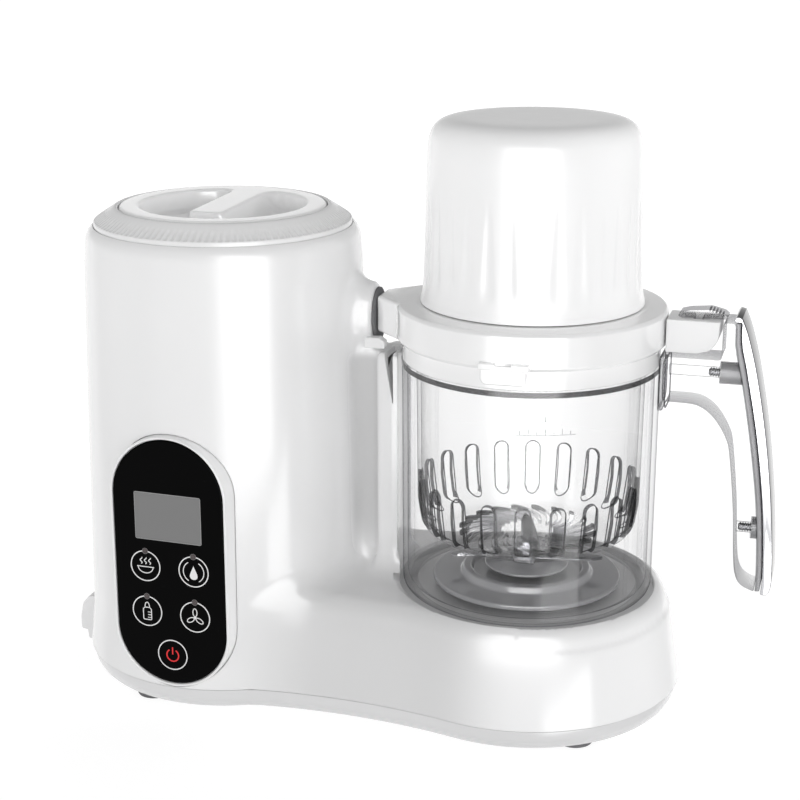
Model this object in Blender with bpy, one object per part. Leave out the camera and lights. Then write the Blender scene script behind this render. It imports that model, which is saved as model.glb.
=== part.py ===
"""Baby food maker: steam tower with a screw-in tank lid and a touch panel, a low
motor base beside it, and a lift-off clear jar with a steaming basket, a lid with
a steam spout and latch, and a tall dome cap.

All sizes are millimetres; every mesh is written in metres.
World frame: +X from the tower to the jar, -Y is the front, +Z up, z = 0 under the feet,
origin at the centre of the footprint box.
"""
import math

import bmesh
import bpy
from mathutils import Matrix, Vector

# ---------------------------------------------------------------- driving dimensions (mm)
MM = 0.001
GAP = 0.3                     # clearance between neighbouring pieces
AXIS_SPACING = 144.8          # tower axis to jar axis
HOOD_REACH = 78.0             # cord hood, from the tower axis
HANDLE_REACH = 111.6          # handle, from the jar axis
TOWER_X = -(AXIS_SPACING + HANDLE_REACH - HOOD_REACH) / 2.0
JAR_X = TOWER_X + AXIS_SPACING
TOWER = (TOWER_X, 0.0)        # plan position of each vertical axis
JAR = (JAR_X, 0.0)

SEAM_Z = 14.0                 # joint between the housing and the base plate
BASE_TOP_Z = 58.0             # rim of the jar seat
SEAT_R, SEAT_Z = 58.6, 55.0   # jar seat and its floor
WELL_R, WELL_Z = 17.0, 40.0   # coupling well under the jar seat
TOWER_TOP_Z = 218.4
TOWER_CEILING_Z = 213.4       # inside face of the tower top
TANK_R, TANK_BOTTOM_Z, TANK_TOP_Z = 49.8, 100.0, 216.0
CAP_R, CAP_TOP_Z = 47.5, 225.5
CAP_RECESS_R, CAP_BAR_HALF = 38.5, 6.8
JAR_R, JAR_BOTTOM_Z, JAR_RIM_Z, JAR_WALL = 57.6, 55.4, 160.0, 2.4
BASKET_FLOOR_Z, BASKET_SLOTS, BASKET_FLOOR_SLOTS = 80.0, 20, 10
LID_R, LID_BOTTOM_Z, LID_TOP_Z = 60.3, 163.2, 188.2
DOME_BASE_Z, DOME_TOP_Z = 189.3, 270.0
PORT_Z, PORT_REACH = 178.0, 74.5   # steam port height, and its reach from the tower axis
SPOUT_Z = 179.0               # bore of the lid's spout
CORD_Z = 19.0                 # mains lead where it enters the housing
HANDLE_W = 19.0

PANEL_TURN = math.radians(-3.0)    # panel faces the front, turned slightly left
PANEL_FACE = 69.4             # rim plane of the panel, from the tower axis
PANEL_W, PANEL_H, PANEL_Z = 53.0, 115.5, 74.2
BEZEL_W, BEZEL_H = PANEL_W + 3.4, PANEL_H + 3.4
DISPLAY_UP = 21.8             # display centre above the panel centre

SWITCH_ANGLE, SWITCH_REACH = math.radians(130), 46.0
SWITCH_X = JAR_X + SWITCH_REACH * math.cos(SWITCH_ANGLE)
SWITCH_Y = SWITCH_REACH * math.sin(SWITCH_ANGLE)
SWITCH = (SWITCH_X, SWITCH_Y)

# plan positions (x, y)
POSTS = [(TOWER_X - 44.0, -34.0), (TOWER_X - 44.0, 34.0), (JAR_X + 44.0, -34.0), (JAR_X + 44.0, 34.0)]
FEET = [(TOWER_X - 22.0, -48.0), (TOWER_X - 22.0, 48.0), (JAR_X + 32.0, -44.0), (JAR_X + 32.0, 44.0)]

ROUND = 28                    # segments on the large round pieces
SHARP_ANGLE = math.radians(38.0)   # edges steeper than this stay crisp
MANIFOLD_SOLIDS = {"housing"}

# ---------------------------------------------------------------- scene reset
for old in list(bpy.data.objects):
    bpy.data.objects.remove(old, do_unlink=True)


# ---------------------------------------------------------------- materials
def material(name, colour, roughness, metallic=0.0, alpha=1.0):
    mat = bpy.data.materials.new(name)
    mat.use_nodes = True
    shader = mat.node_tree.nodes["Principled BSDF"]
    shader.inputs["Base Color"].default_value = (*colour, 1.0)
    shader.inputs["Roughness"].default_value = roughness
    shader.inputs["Metallic"].default_value = metallic
    shader.inputs["Alpha"].default_value = alpha
    return mat


WHITE = material("white_gloss", colour=(0.92, 0.92, 0.92), roughness=0.15)
CLEAR = material("clear_plastic", colour=(0.93, 0.95, 0.96), roughness=0.05, alpha=0.35)
CHROME = material("chrome", colour=(0.80, 0.80, 0.82), roughness=0.08, metallic=1.0)
GREY = material("grey_plastic", colour=(0.42, 0.42, 0.44), roughness=0.4)
DARK = material("dark_plastic", colour=(0.06, 0.06, 0.065), roughness=0.45)
RUBBER = material("rubber", colour=(0.16, 0.16, 0.17), roughness=0.75)
SILICONE = material("silicone", colour=(0.75, 0.76, 0.77), roughness=0.55)
GLASS = material("black_glass", colour=(0.005, 0.005, 0.006), roughness=0.05)
STEEL = material("steel", colour=(0.62, 0.62, 0.64), roughness=0.25, metallic=1.0)
ALLOY = material("aluminium", colour=(0.72, 0.72, 0.74), roughness=0.4, metallic=1.0)
BOARD = material("circuit_board", colour=(0.05, 0.28, 0.14), roughness=0.5)
BRASS = material("brass", colour=(0.78, 0.60, 0.28), roughness=0.3, metallic=1.0)


# ---------------------------------------------------------------- flat outlines
def arc(cx, cy, radius, start, end, steps):
    """Points from angle `start` to angle `end`, both included."""
    angles = [start + (end - start) * i / steps for i in range(steps + 1)]
    return [(cx + radius * math.cos(a), cy + radius * math.sin(a)) for a in angles]


def circle(cx, cy, radius, steps):
    return arc(cx, cy, radius, 0.0, 2 * math.pi, steps)[:-1]


def stadium(width, height, steps=10):
    """Upright stadium centred on the origin."""
    radius = width / 2.0
    centre = height / 2.0 - radius
    return (arc(0.0, centre, radius, 0.0, math.pi, steps)
            + arc(0.0, -centre, radius, math.pi, 2 * math.pi, steps))


def rect(width, height, cy):
    left, right, low, high = -width / 2, width / 2, cy - height / 2, cy + height / 2
    return [(left, low), (right, low), (right, high), (left, high)]


def band(inner, outer, low, high):
    """Rectangular (radius, height) profile: a disc when `inner` is 0, else a tube."""
    return [(inner, low), (outer, low), (outer, high), (inner, high)]


def stepped(first_r, second_r, low, step, high):
    """Profile of a solid round bar whose radius changes at height `step`."""
    return [(0, low), (first_r, low), (first_r, step),
            (second_r, step), (second_r, high), (0, high)]


def waisted(tower_r, jar_r, waist):
    """Plan outline round both axes: two circles joined by hollow arcs that pass
    `waist` from the centre line."""
    end_steps, hollow_steps = 13, 4
    low, high = 5.0, 5000.0
    for _ in range(80):      # bisect for the hollow arc that touches both circles
        hollow_r = 0.5 * (low + high)
        hollow_x = (AXIS_SPACING ** 2 - (jar_r - tower_r) * (jar_r + tower_r + 2 * hollow_r)) \
            / (2 * AXIS_SPACING)
        if hollow_x ** 2 + (waist + hollow_r) ** 2 - (tower_r + hollow_r) ** 2 > 0:
            low = hollow_r
        else:
            high = hollow_r
    hollow_y = waist + hollow_r
    centre_x = TOWER_X + hollow_x
    tower_touch = math.atan2(hollow_y, hollow_x)     # directions seen from each axis
    jar_touch = math.atan2(hollow_y, hollow_x - AXIS_SPACING)
    start, end = jar_touch - math.pi, tower_touch - math.pi
    jar_end = arc(*JAR, jar_r, -jar_touch, jar_touch, end_steps)
    back = arc(centre_x, hollow_y, hollow_r, start, end, hollow_steps)
    tower_end = arc(*TOWER, tower_r, tower_touch, 2 * math.pi - tower_touch, end_steps)
    front = arc(centre_x, -hollow_y, hollow_r, -end, -start, hollow_steps)
    return jar_end + back[1:-1] + tower_end + front[1:-1]


def post_outline(post_x, post_y):
    """Screw post with a rib that runs out to the shell wall."""
    post_r = 4.6
    axis_x, reach = (TOWER_X, 66.0) if post_x < 0 else (JAR_X, 63.0)
    away = Vector((post_x - axis_x, post_y)).normalized()
    side = Vector((-away.y, away.x))
    bow = [Vector((post_x, post_y)) - post_r * (math.cos(a) * away + math.sin(a) * side)
           for a in (math.radians(-90 + 36 * i) for i in range(6))]
    ends = [Vector((axis_x, 0)) + reach * away + post_r * side * k for k in (-0.6, 0.6)]
    return [(p.x, p.y) for p in bow + ends]


def recess_outline():
    """Finger recess: a disc with a bar left standing from the back rim nearly to the front."""
    radius, bar, tip = CAP_RECESS_R, CAP_BAR_HALF, -24.0
    rim = arc(*TOWER, radius, math.acos(-bar / radius), 2 * math.pi + math.acos(bar / radius), 28)
    right_tip = [(bar, tip + 5.0), (bar - 1.6, tip + 1.4), (bar - 5.0, tip)]
    left_tip = [(-x, y) for x, y in reversed(right_tip)]
    return rim + [(TOWER_X + x, y) for x, y in right_tip + left_tip]


# ---------------------------------------------------------------- mesh bodies
def lathe(profile, steps=ROUND, centre=(0.0, 0.0)):
    """Spin a closed profile of (radius, height) about the vertical line through `centre`.
    A profile that starts and ends on the axis is left open along the axis."""
    bm = bmesh.new()
    verts = [bm.verts.new((r, 0.0, z)) for r, z in profile]
    edges = [bm.edges.new(pair) for pair in zip(verts, verts[1:])]
    if profile[0][0] > 0.0 or profile[-1][0] > 0.0:
        edges.append(bm.edges.new((verts[-1], verts[0])))
    bmesh.ops.spin(bm, geom=verts + edges, cent=(0, 0, 0), axis=(0, 0, 1), dvec=(0, 0, 0),
                   angle=2 * math.pi, steps=steps, use_merge=True, use_duplicate=False)
    bmesh.ops.remove_doubles(bm, verts=bm.verts, dist=1e-4)
    bmesh.ops.translate(bm, vec=(*centre, 0.0), verts=bm.verts)
    return bm


def along_x(profile, x, z, steps=16):
    """Spin a profile of (radius, distance) about a line along +X that starts at (x, 0, z)."""
    bm = lathe(profile, steps)
    bmesh.ops.transform(bm, matrix=Matrix.Rotation(math.radians(90), 4, "Y"), verts=bm.verts)
    bmesh.ops.translate(bm, vec=(x, 0.0, z), verts=bm.verts)
    return bm


def extrude(points, step):
    bm = bmesh.new()
    face = bm.faces.new([bm.verts.new(p) for p in points])
    grown = bmesh.ops.extrude_face_region(bm, geom=[face])
    moved = [g for g in grown["geom"] if isinstance(g, bmesh.types.BMVert)]
    bmesh.ops.translate(bm, vec=step, verts=moved)
    return bm


def prism(outline, low, high):
    """Extrude an (x, y) outline along Z."""
    return extrude([(x, y, low) for x, y in outline], (0.0, 0.0, high - low))


def side_prism(outline, axis_x, half_width):
    """Extrude an outline of (distance from the axis, height) along Y, both ways."""
    points = [(axis_x + reach, -half_width, z) for reach, z in outline]
    return extrude(points, (0.0, 2 * half_width, 0.0))


def box(x0, x1, y0, y1, z0, z1):
    return prism([(x0, y0), (x1, y0), (x1, y1), (x0, y1)], z0, z1)


def panel_prism(outline, near, far):
    """Extrude an (across, up) outline of the panel between two distances from the tower axis."""
    sin, cos = math.sin(PANEL_TURN), math.cos(PANEL_TURN)
    to_world = Matrix(((cos, 0.0, sin, TOWER_X),
                       (sin, 0.0, -cos, 0.0),
                       (0.0, 1.0, 0.0, PANEL_Z),
                       (0.0, 0.0, 0.0, 1.0)))
    bm = prism(outline, near, far)
    bmesh.ops.transform(bm, matrix=to_world, verts=bm.verts)
    return bm


def loft(rings):
    """Skin rings of equal length, with flat ends."""
    bm = bmesh.new()
    rows = [[bm.verts.new(p) for p in ring] for ring in rings]
    for low, high in zip(rows, rows[1:]):
        count = len(low)
        for i in range(count):
            j = (i + 1) % count
            bm.faces.new((low[i], low[j], high[j], high[i]))
    bm.faces.new(rows[0])
    bm.faces.new(rows[-1])
    return bm


def level(outline, z):
    return [(x, y, z) for x, y in outline]


def waisted_loft(levels):
    """Skin waisted outlines given as (z, tower radius, jar radius, waist)."""
    return loft([level(waisted(*sizes), z) for z, *sizes in levels])


def port_bar(x0, x1, start, end=None):
    """Bar along X at the steam port's height, x measured from the tower axis.
    `start` and `end` are the (half width, half height) of its oval ends."""
    turns = [2 * math.pi * i / 16 for i in range(16)]
    return loft([[(TOWER_X + x, half_w * math.cos(a), PORT_Z + half_h * math.sin(a))
                  for a in turns]
                 for x, (half_w, half_h) in ((x0, start), (x1, end or start))])


def sweep(points, radius, sides=10):
    """Round tube along a list of points, with flat ends."""
    path = [Vector(p) for p in points]
    turns = [2 * math.pi * k / sides for k in range(sides)]
    rings, up = [], Vector((0, 0, 1))
    for i, p in enumerate(path):
        ahead = (path[min(i + 1, len(path) - 1)] - path[max(i - 1, 0)]).normalized()
        side = ahead.cross(up)
        if side.length < 1e-3:
            side = ahead.cross(Vector((1, 0, 0)))
        side.normalize()
        up = side.cross(ahead).normalized()
        rings.append([tuple(p + radius * (math.cos(a) * side + math.sin(a) * up)) for a in turns])
    return loft(rings)


def bevel_all(bm, width, segments=2, angle=40.0):
    """Bevel every edge sharper than `angle` degrees."""
    sharp = [e for e in bm.edges
             if len(e.link_faces) == 2 and e.calc_face_angle(0.0) > math.radians(angle)]
    bmesh.ops.bevel(bm, geom=sharp, offset=width, segments=segments, profile=0.5,
                    affect="EDGES", clamp_overlap=True)
    return bm


def round_jar(bm, angle):
    """Turn a body about Z at the world origin, then carry it to the jar axis."""
    bmesh.ops.rotate(bm, cent=(0, 0, 0), matrix=Matrix.Rotation(angle, 3, "Z"), verts=bm.verts)
    bmesh.ops.translate(bm, vec=(JAR_X, 0, 0), verts=bm.verts)
    return bm


def merge(parts):
    """Several separate bodies in one bmesh, for a boolean helper."""
    total = bmesh.new()
    for bm in parts:
        bmesh.ops.recalc_face_normals(bm, faces=bm.faces)
        mesh = bpy.data.meshes.new("temporary")
        bm.to_mesh(mesh)
        bm.free()
        total.from_mesh(mesh)
        bpy.data.meshes.remove(mesh)
    return total


# ---------------------------------------------------------------- objects and booleans
def place(bm, name, mat, origin=(0.0, 0.0, 0.0)):
    """One named object from a bmesh in world millimetres, with its origin at `origin`."""
    bmesh.ops.recalc_face_normals(bm, faces=bm.faces)
    mesh = bpy.data.meshes.new(name)
    bm.to_mesh(mesh)
    bm.free()
    mesh.transform(Matrix.Translation(-Vector(origin)))
    mesh.transform(Matrix.Scale(MM, 4))
    mesh.shade_smooth()
    mesh.set_sharp_from_angle(angle=SHARP_ANGLE)
    mesh.materials.append(mat)
    obj = bpy.data.objects.new(name, mesh)
    obj.location = Vector(origin) * MM
    bpy.context.scene.collection.objects.link(obj)
    return obj


def turned(name, mat, profile, axis, origin_z, steps=ROUND):
    """Lathed object whose origin lies on its own vertical axis."""
    return place(lathe(profile, steps, axis), name, mat, (*axis, origin_z))


def turned_x(name, mat, profile, x, z, steps=16):
    """Lathed object along +X, with its origin at the start of its axis."""
    return place(along_x(profile, x, z, steps), name, mat, (x, 0, z))


def helper(bm, name):
    obj = place(bm, name, GREY)
    obj.hide_render = True
    obj.display_type = "WIRE"
    return obj


def add_boolean(obj, other, operation, label):
    mod = obj.modifiers.new(f"{operation.lower()}_{label}", "BOOLEAN")
    mod.operation = operation
    # the exact solver leaves open edges where the housing's flat floors meet
    mod.solver = "MANIFOLD" if obj.name in MANIFOLD_SOLIDS else "EXACT"
    mod.object = other


def cut(obj, bm, operation="DIFFERENCE"):
    """Cut `bm`, which stays in the file as a hidden wire helper, out of `obj`."""
    number = len(obj.modifiers) + 1
    add_boolean(obj, helper(bm, f"cutter_{obj.name}_{number}"), operation, number)


def join(obj, bm):
    cut(obj, bm, "UNION")


# ---------------------------------------------------------------- tower and base housing
# (radius, z) from the tower axis
TOWER_OUTSIDE = [(0, 8.0), (69.6, 8.0), (69.2, SEAM_Z), (67.0, 36), (65.7, 124), (64.0, 200),
                 (62.8, 211), (61.0, 216.2), (59.6, TOWER_TOP_Z), (0, TOWER_TOP_Z)]
TOWER_INSIDE = [(0, 4), (66.8, 4), (64.4, 36), (63.1, 124), (61.4, 200),
                (58.8, TOWER_CEILING_Z), (0, TOWER_CEILING_Z)]
# z, radius round the tower axis, radius round the jar axis, waist
BASE_OUTSIDE = [(9.0, 66.4, 72.4, 61.0), (20, 65.6, 70.8, 59.3), (30, 65.0, 69.2, 57.6),
                (44, 64.2, 67.0, 54.6), (51.5, 63.2, 64.3, 50.6), (56.2, 61.9, 61.5, 46.0),
                (BASE_TOP_Z, 60.6, 59.8, 43.0)]
BASE_INSIDE = [(5, 63.8, 69.6, 58.2), (24, 62.8, 67.6, 56.0), (44, 61.6, 64.4, 52.0),
               (52.6, 60.2, 60.6, 46.0)]
PLATE_OUTSIDE = [(3.0, 62.7, 62.9, 52.7), (6.0, 66.2, 67.8, 56.4),
                 (SEAM_Z - GAP, 69.4, 72.0, 60.6)]
PLATE_INSIDE = [(5.6, 61.8, 63.0, 52.0), (16.0, 67.0, 69.6, 58.2)]


def join_outer_forms(housing):
    join(housing, waisted_loft(BASE_OUTSIDE))
    # column towards the jar: a narrow web with a wider rib on its jar side
    low, high = 50, 163
    join(housing, bevel_all(box(TOWER_X + 52, TOWER_X + 79, -8.0, 8.0, low, high), 2.5))
    join(housing, bevel_all(box(TOWER_X + 76.4, TOWER_X + 85.0, -13.0, 13.0, low, high), 2.0))
    # oval boss of the steam port
    join(housing, port_bar(50, PORT_REACH, (15.5, 18.0), (11.5, 14.5)))


def hollow_housing(housing):
    cut(housing, lathe(TOWER_INSIDE, ROUND, TOWER))
    # the base void leaves material round the coupling well
    base_void = helper(waisted_loft(BASE_INSIDE), "cutter_base_void")
    cut(base_void, lathe(band(0, WELL_R + 2.2, WELL_Z - 2.0, 54), 32, JAR))
    add_boolean(housing, base_void, "DIFFERENCE", "base_void")
    low, high = 54.0, 160.4
    cut(housing, box(TOWER_X + 50, TOWER_X + 80.0, -5.4, 5.4, low, high))
    cut(housing, box(TOWER_X + 79.0, TOWER_X + 82.4, -10.4, 10.4, low, high))
    cut(housing, port_bar(50, 71.6, (9.0, 12.0)))


def join_screw_posts(housing):
    # the undersides are staggered so that no two are level; the open underside trims them
    for n, (x, y) in enumerate(POSTS):
        join(housing, prism(post_outline(x, y), 10.0 + 0.4 * n, 48.0 if x < 0 else 53.5))


def cut_openings(housing):
    cut(housing, lathe(band(0, SEAT_R, SEAT_Z, 70), ROUND, JAR))
    cut(housing, merge([prism(circle(*JAR, WELL_R, 32), WELL_Z, 56.0),
                        prism(circle(*SWITCH, 3.0, 16), 50.0, 56.0)]))
    cut(housing, prism(circle(*JAR, 4.2, 20), 36.0, 42.0))            # motor shaft
    cut(housing, prism(circle(*TOWER, 59.5, ROUND), 216.1, 222.0))    # tank ring seat
    cut(housing, prism(circle(*TOWER, 50.3, ROUND), 210.0, 218.0))    # tank mouth
    cut(housing, port_bar(69.0, 78.0, (8.3, 10.3)))
    cut(housing, panel_prism(stadium(BEZEL_W + 2 * GAP, BEZEL_H + 2 * GAP), 50.0, 76.0))
    cut(housing, along_x(band(0, 5.5, 0, 14), TOWER_X - 74, CORD_Z))
    cut(housing, merge([prism(circle(*post, 1.9, 8), 4.0, 24.0) for post in POSTS]))
    # open underside, just above the seam
    cut(housing, box(-200, 200, -100, 100, 0.0, SEAM_Z + GAP))


def build_housing():
    housing = place(lathe(TOWER_OUTSIDE, ROUND, TOWER), "housing", WHITE)
    join_outer_forms(housing)
    hollow_housing(housing)
    join_screw_posts(housing)
    cut_openings(housing)


# ---------------------------------------------------------------- base plate, feet, screws
def build_base_plate():
    plate = place(waisted_loft(PLATE_OUTSIDE), "base_plate", WHITE)
    cut(plate, waisted_loft(PLATE_INSIDE))
    vent_w, vent_pitch, first_x = 3.2, 8, JAR_X - 24
    cut(plate, merge([box(first_x + vent_pitch * i, first_x + vent_w + vent_pitch * i, -18, 18, 1, 8)
                      for i in range(6)]))
    foot_holes = [prism(circle(*foot, 3.3, 10), 1.0, 8.0) for foot in FEET]
    screw_holes = [lathe(stepped(4.2, 2.0, 1.0, 4.4, 12.0), 10, post) for post in POSTS]
    cut(plate, merge(foot_holes + screw_holes))


def build_feet_and_base_screws():
    foot_profile = [(0, 0), (7.6, 0), (8.4, 0.9), (8.4, 2.7), (3.0, 2.7), (3.0, 7.0), (0, 7.0)]
    for n, foot in enumerate(FEET):
        turned(f"foot_{n + 1}", RUBBER, foot_profile, foot, 0, 12)
    head_z, head_r, shank_r = 2.2, 3.6, 1.6
    screw_profile = [(0, head_z), (head_r, head_z), (head_r, 4.1), (shank_r, 4.1),
                     (shank_r, 18.0), (0, 19.5)]
    for n, post in enumerate(POSTS):
        turned(f"base_screw_{n + 1}", STEEL, screw_profile, post, head_z, 10)


# ---------------------------------------------------------------- tank, heater and steam path
def build_tank():
    turned("tank_ring", WHITE, [(59.2, 216.4), (59.2, 218.5), (49.6, 224.9), (47.9, 225.4),
                                (47.9, 218.4), (51.8, 216.4)], TOWER, 216.4)
    inner_r, floor_z = 48.3, 101.6
    tank = turned("water_tank", STEEL, [
        (0, TANK_BOTTOM_Z), (46.0, TANK_BOTTOM_Z), (TANK_R, 104.0), (TANK_R, TANK_TOP_Z),
        (inner_r, TANK_TOP_Z), (inner_r, 104.6), (45.4, floor_z), (0, floor_z),
    ], TOWER, TANK_BOTTOM_Z)
    cut(tank, along_x(band(0, 3.6, 0, 12), TOWER_X + 43, PORT_Z, 14))


def build_heater():
    turned("heater_plate", ALLOY, [(0, 95.6), (42, 95.6), (44.5, 97), (44.5, 99.7), (0, 99.7)],
           TOWER, 97, 28)
    element_r, element_z, rod_r = 34, 91.9, 3.4
    turned("heating_element", STEEL, circle(element_r, element_z, rod_r, 8), TOWER, element_z, 24)
    turned("thermostat", BRASS, stepped(5, 9, 82, 88, 95.3), TOWER, 88, 20)


def build_steam_port():
    turned_x("steam_tube", SILICONE, band(3.6, 5.6, 0, 18.4), TOWER_X + 50.2, PORT_Z)
    seal = place(port_bar(69.0, 74.9, (8.0, 10.0)), "steam_port_seal", RUBBER,
                 (TOWER_X + 69, 0, PORT_Z))
    cut(seal, port_bar(68.0, 76.0, (5.4, 7.4)))


def build_tank_lid():
    """A plug with a gasket in its groove, and the grip disc above it."""
    plug_r, groove_r, bottom, top = 46.9, 45.4, 196.0, 212.4
    turned("tank_plug", WHITE, [
        (0, bottom), (46.0, bottom), (plug_r, 197.5), (plug_r, 200.2), (groove_r, 200.2),
        (groove_r, 203.2), (plug_r, 203.2), (plug_r, top), (43.5, top), (43.5, 199.0), (0, 199.0),
    ], TOWER, bottom)
    turned("tank_gasket", SILICONE, [(45.7, 200.5), (47.6, 200.9), (47.6, 202.5), (45.7, 202.9)],
           TOWER, 201.7)
    cap = turned("tank_cap", WHITE, [
        (0, 212.8), (46.6, 212.8), (46.6, 217.6), (CAP_R, 218.4), (CAP_R, 224.8),
        (46.9, CAP_TOP_Z), (0, CAP_TOP_Z),
    ], TOWER, 212.8)
    cut(cap, prism(recess_outline(), 215.6, 230.0))


# ---------------------------------------------------------------- touch panel on the tower
def build_panel():
    bezel = place(panel_prism(stadium(BEZEL_W, BEZEL_H), 56.0, PANEL_FACE), "panel_bezel", WHITE)
    cut(bezel, panel_prism(stadium(PANEL_W + 0.5, PANEL_H + 0.5),
                           PANEL_FACE - 2.1, PANEL_FACE + 2.0))        # glass recess
    cut(bezel, panel_prism(stadium(PANEL_W - 1.0, PANEL_H - 1.0), 50.0, 65.0))   # hollow back
    cut(bezel, panel_prism(rect(38.0, 28.0, DISPLAY_UP), 60.0, 72.0))  # display window
    place(panel_prism(stadium(PANEL_W, PANEL_H), PANEL_FACE - 1.8, PANEL_FACE - 0.3),
          "touch_glass", GLASS)
    place(panel_prism(rect(37.2, 27.2, DISPLAY_UP), 62.6, PANEL_FACE - 2.2),
          "display_module", GREY)
    place(panel_prism(rect(36.0, 56.0, -18.0), 60.6, 62.2), "control_board", BOARD)


# ---------------------------------------------------------------- power inlet and board
# (distance from the tower axis, z)
HOOD_OUTLINE = [(-70.0, 27.5), (-72.6, 26.8), (-75.4, 24.0), (-77.2, 20.0), (-HOOD_REACH, 14.5),
                (-HOOD_REACH, 9.6), (-74.6, 9.2), (-74.0, 4.4), (-71.4, 4.2), (-71.0, 9.0),
                (-70.0, 9.2)]
# path of the mains lead: x from the tower axis, y, z
LEAD_PATH = [(-69.0, 0, CORD_Z), (-62.0, 0, CORD_Z), (-56.0, 0, 19.6), (-50.0, 2.0, 23.0),
             (-46.0, 4.0, 28.4), (-42.0, 6.0, 30.6), (-36.4, 8.0, 30.6)]


def build_power_inlet():
    hood = side_prism(HOOD_OUTLINE, TOWER_X, 9.0)
    place(bevel_all(hood, 0.8, 1, 60), "cord_hood", WHITE, (TOWER_X - 70, 0, 18))
    turned_x("strain_relief", RUBBER, [(2.9, 0.4), (5.2, 0.4), (5.2, 7.2), (7.0, 7.2), (7.0, 9.4),
                                       (3.9, 12.0), (2.9, 12.0)], TOWER_X - 69.6, CORD_Z)
    lead = [(TOWER_X + x, y, z) for x, y, z in LEAD_PATH]
    place(sweep(lead, 2.5), "mains_lead", DARK, lead[0])
    place(box(TOWER_X - 36, TOWER_X + 34, -26, 26, 26.0, 27.6), "power_board", BOARD,
          (*TOWER, 26))


# ---------------------------------------------------------------- motor under the jar seat
def build_motor():
    bore_r, bottom, top = 3.8, 10.0, 35.4
    turned("motor_can", STEEL, [
        (bore_r, bottom), (24.0, bottom), (26.0, 11.5), (26.0, 34.0), (24.0, top), (bore_r, top),
        (bore_r, 33.0), (23.8, 33.0), (23.8, 12.4), (bore_r, 12.4),
    ], JAR, bottom, 24)
    turned("stator_magnets", DARK, band(21.0, 23.4, 14.5, 31.0), JAR, 14.5, 24)
    turned("motor_mount", GREY, band(4.2, 30.0, 35.7, 37.6), JAR, 35.7, 24)
    shaft_r, shaft_low, shaft_high = 3.0, 6.4, 42.4
    turned("motor_armature", STEEL, [
        (0, shaft_low), (shaft_r, shaft_low), (shaft_r, 15.0), (18.0, 15.0), (20.4, 16.0),
        (20.4, 29.6), (18.0, 30.6), (shaft_r, 30.6), (shaft_r, shaft_high), (0, shaft_high),
    ], JAR, shaft_low, 20)


def build_cooling_fan():
    """A hub ring with straight blades fused to it."""
    blades, hub_r, tip_r, low, high = 5, 7.0, 19.0, 6.5, 9.5
    fan = turned("cooling_fan", DARK, band(3.3, hub_r, low, high), JAR, low, 16)
    join(fan, merge([round_jar(box(hub_r - 1.2, tip_r, -0.7, 0.7, low + 0.2, high - 0.2),
                               2 * math.pi * k / blades) for k in range(blades)]))


def build_coupling(name, low, high, teeth_low, teeth_high, teeth_turn):
    """Coupling disc with three upright driving teeth, shaped as ring sectors."""
    disc = turned(name, DARK, band(3.3, 11.6, low, high), JAR, low, 24)
    half, inner_r, outer_r = math.radians(24.0), 5.6, 11.0
    teeth = []
    for k in range(3):
        middle = teeth_turn + 2 * math.pi * k / 3
        outer, inner = (arc(*JAR, r, middle - half, middle + half, 2) for r in (outer_r, inner_r))
        teeth.append(prism(outer + inner[::-1], teeth_low, teeth_high))
    join(disc, merge(teeth))


def build_safety_switch():
    """Switch under the jar seat, with its pin and spring."""
    turned("jar_switch_pin", GREY, [(0, 43.0), (4.4, 43.0), (4.4, 45.0), (2.6, 45.0),
                                    (2.6, 54.2), (1.8, 55.0), (0, 55.0)], SWITCH, 43, 16)
    steps, turns, coil_r, coil_low, coil_h = 30, 3.0, 3.0, 34.6, 7.6
    coil = []
    for i in range(steps + 1):
        a = 2 * math.pi * turns * i / steps
        coil.append((SWITCH_X + coil_r * math.cos(a), SWITCH_Y + coil_r * math.sin(a),
                     coil_low + coil_h * i / steps))
    place(sweep(coil, 0.4, 5), "switch_spring", STEEL, (*SWITCH, 34.1))
    place(box(SWITCH_X - 6, SWITCH_X + 6, SWITCH_Y - 4.5, SWITCH_Y + 4.5, 24.0, 33.8),
          "safety_switch", DARK, (*SWITCH, 24))


# ---------------------------------------------------------------- jar
# (radius, z), up the outside and down the inside
JAR_PROFILE = [(6.3, JAR_BOTTOM_Z), (52.4, JAR_BOTTOM_Z), (55.4, 56.4), (56.9, 59.0),
               (57.1, 62.0), (57.5, 154.0), (JAR_R, 156.6), (JAR_R, JAR_RIM_Z),
               (JAR_R - JAR_WALL, JAR_RIM_Z), (54.9, 62.6), (53.4, 59.4), (50.6, 58.2),
               (6.3, 58.2)]


def build_jar():
    jar = turned("jar", CLEAR, JAR_PROFILE, JAR, JAR_BOTTOM_Z)
    # upright ribs on the inside of the wall
    join(jar, merge([round_jar(box(51.6, 56.0, -1.1, 1.1, 60.2, 148), math.radians(degrees))
                     for degrees in (23, -23, 157, 203)]))


def build_blade_seat():
    turned("blade_seat", GREY, [(9.4, 58.5), (43.0, 58.5), (43.0, 60.6), (30.2, 61.0),
                                (29.0, 64.0), (25.6, 64.0), (24.4, 61.2), (9.4, 61.2)],
           JAR, 58.5, 24)
    turned("blade_bush", BRASS, [(3.0, 51.9), (6.0, 51.9), (6.0, 58.5), (9.1, 58.5),
                                 (9.1, 60.6), (6.4, 61.4), (6.4, 63.2), (3.0, 63.2)],
           JAR, 51.9, 20)
    nut = place(prism(circle(*JAR, 10.2, 6), 52.1, 55.1), "bush_nut", STEEL, (*JAR, 52.1))
    cut(nut, prism(circle(*JAR, 6.4, 24), 50.0, 57.0))


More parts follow.
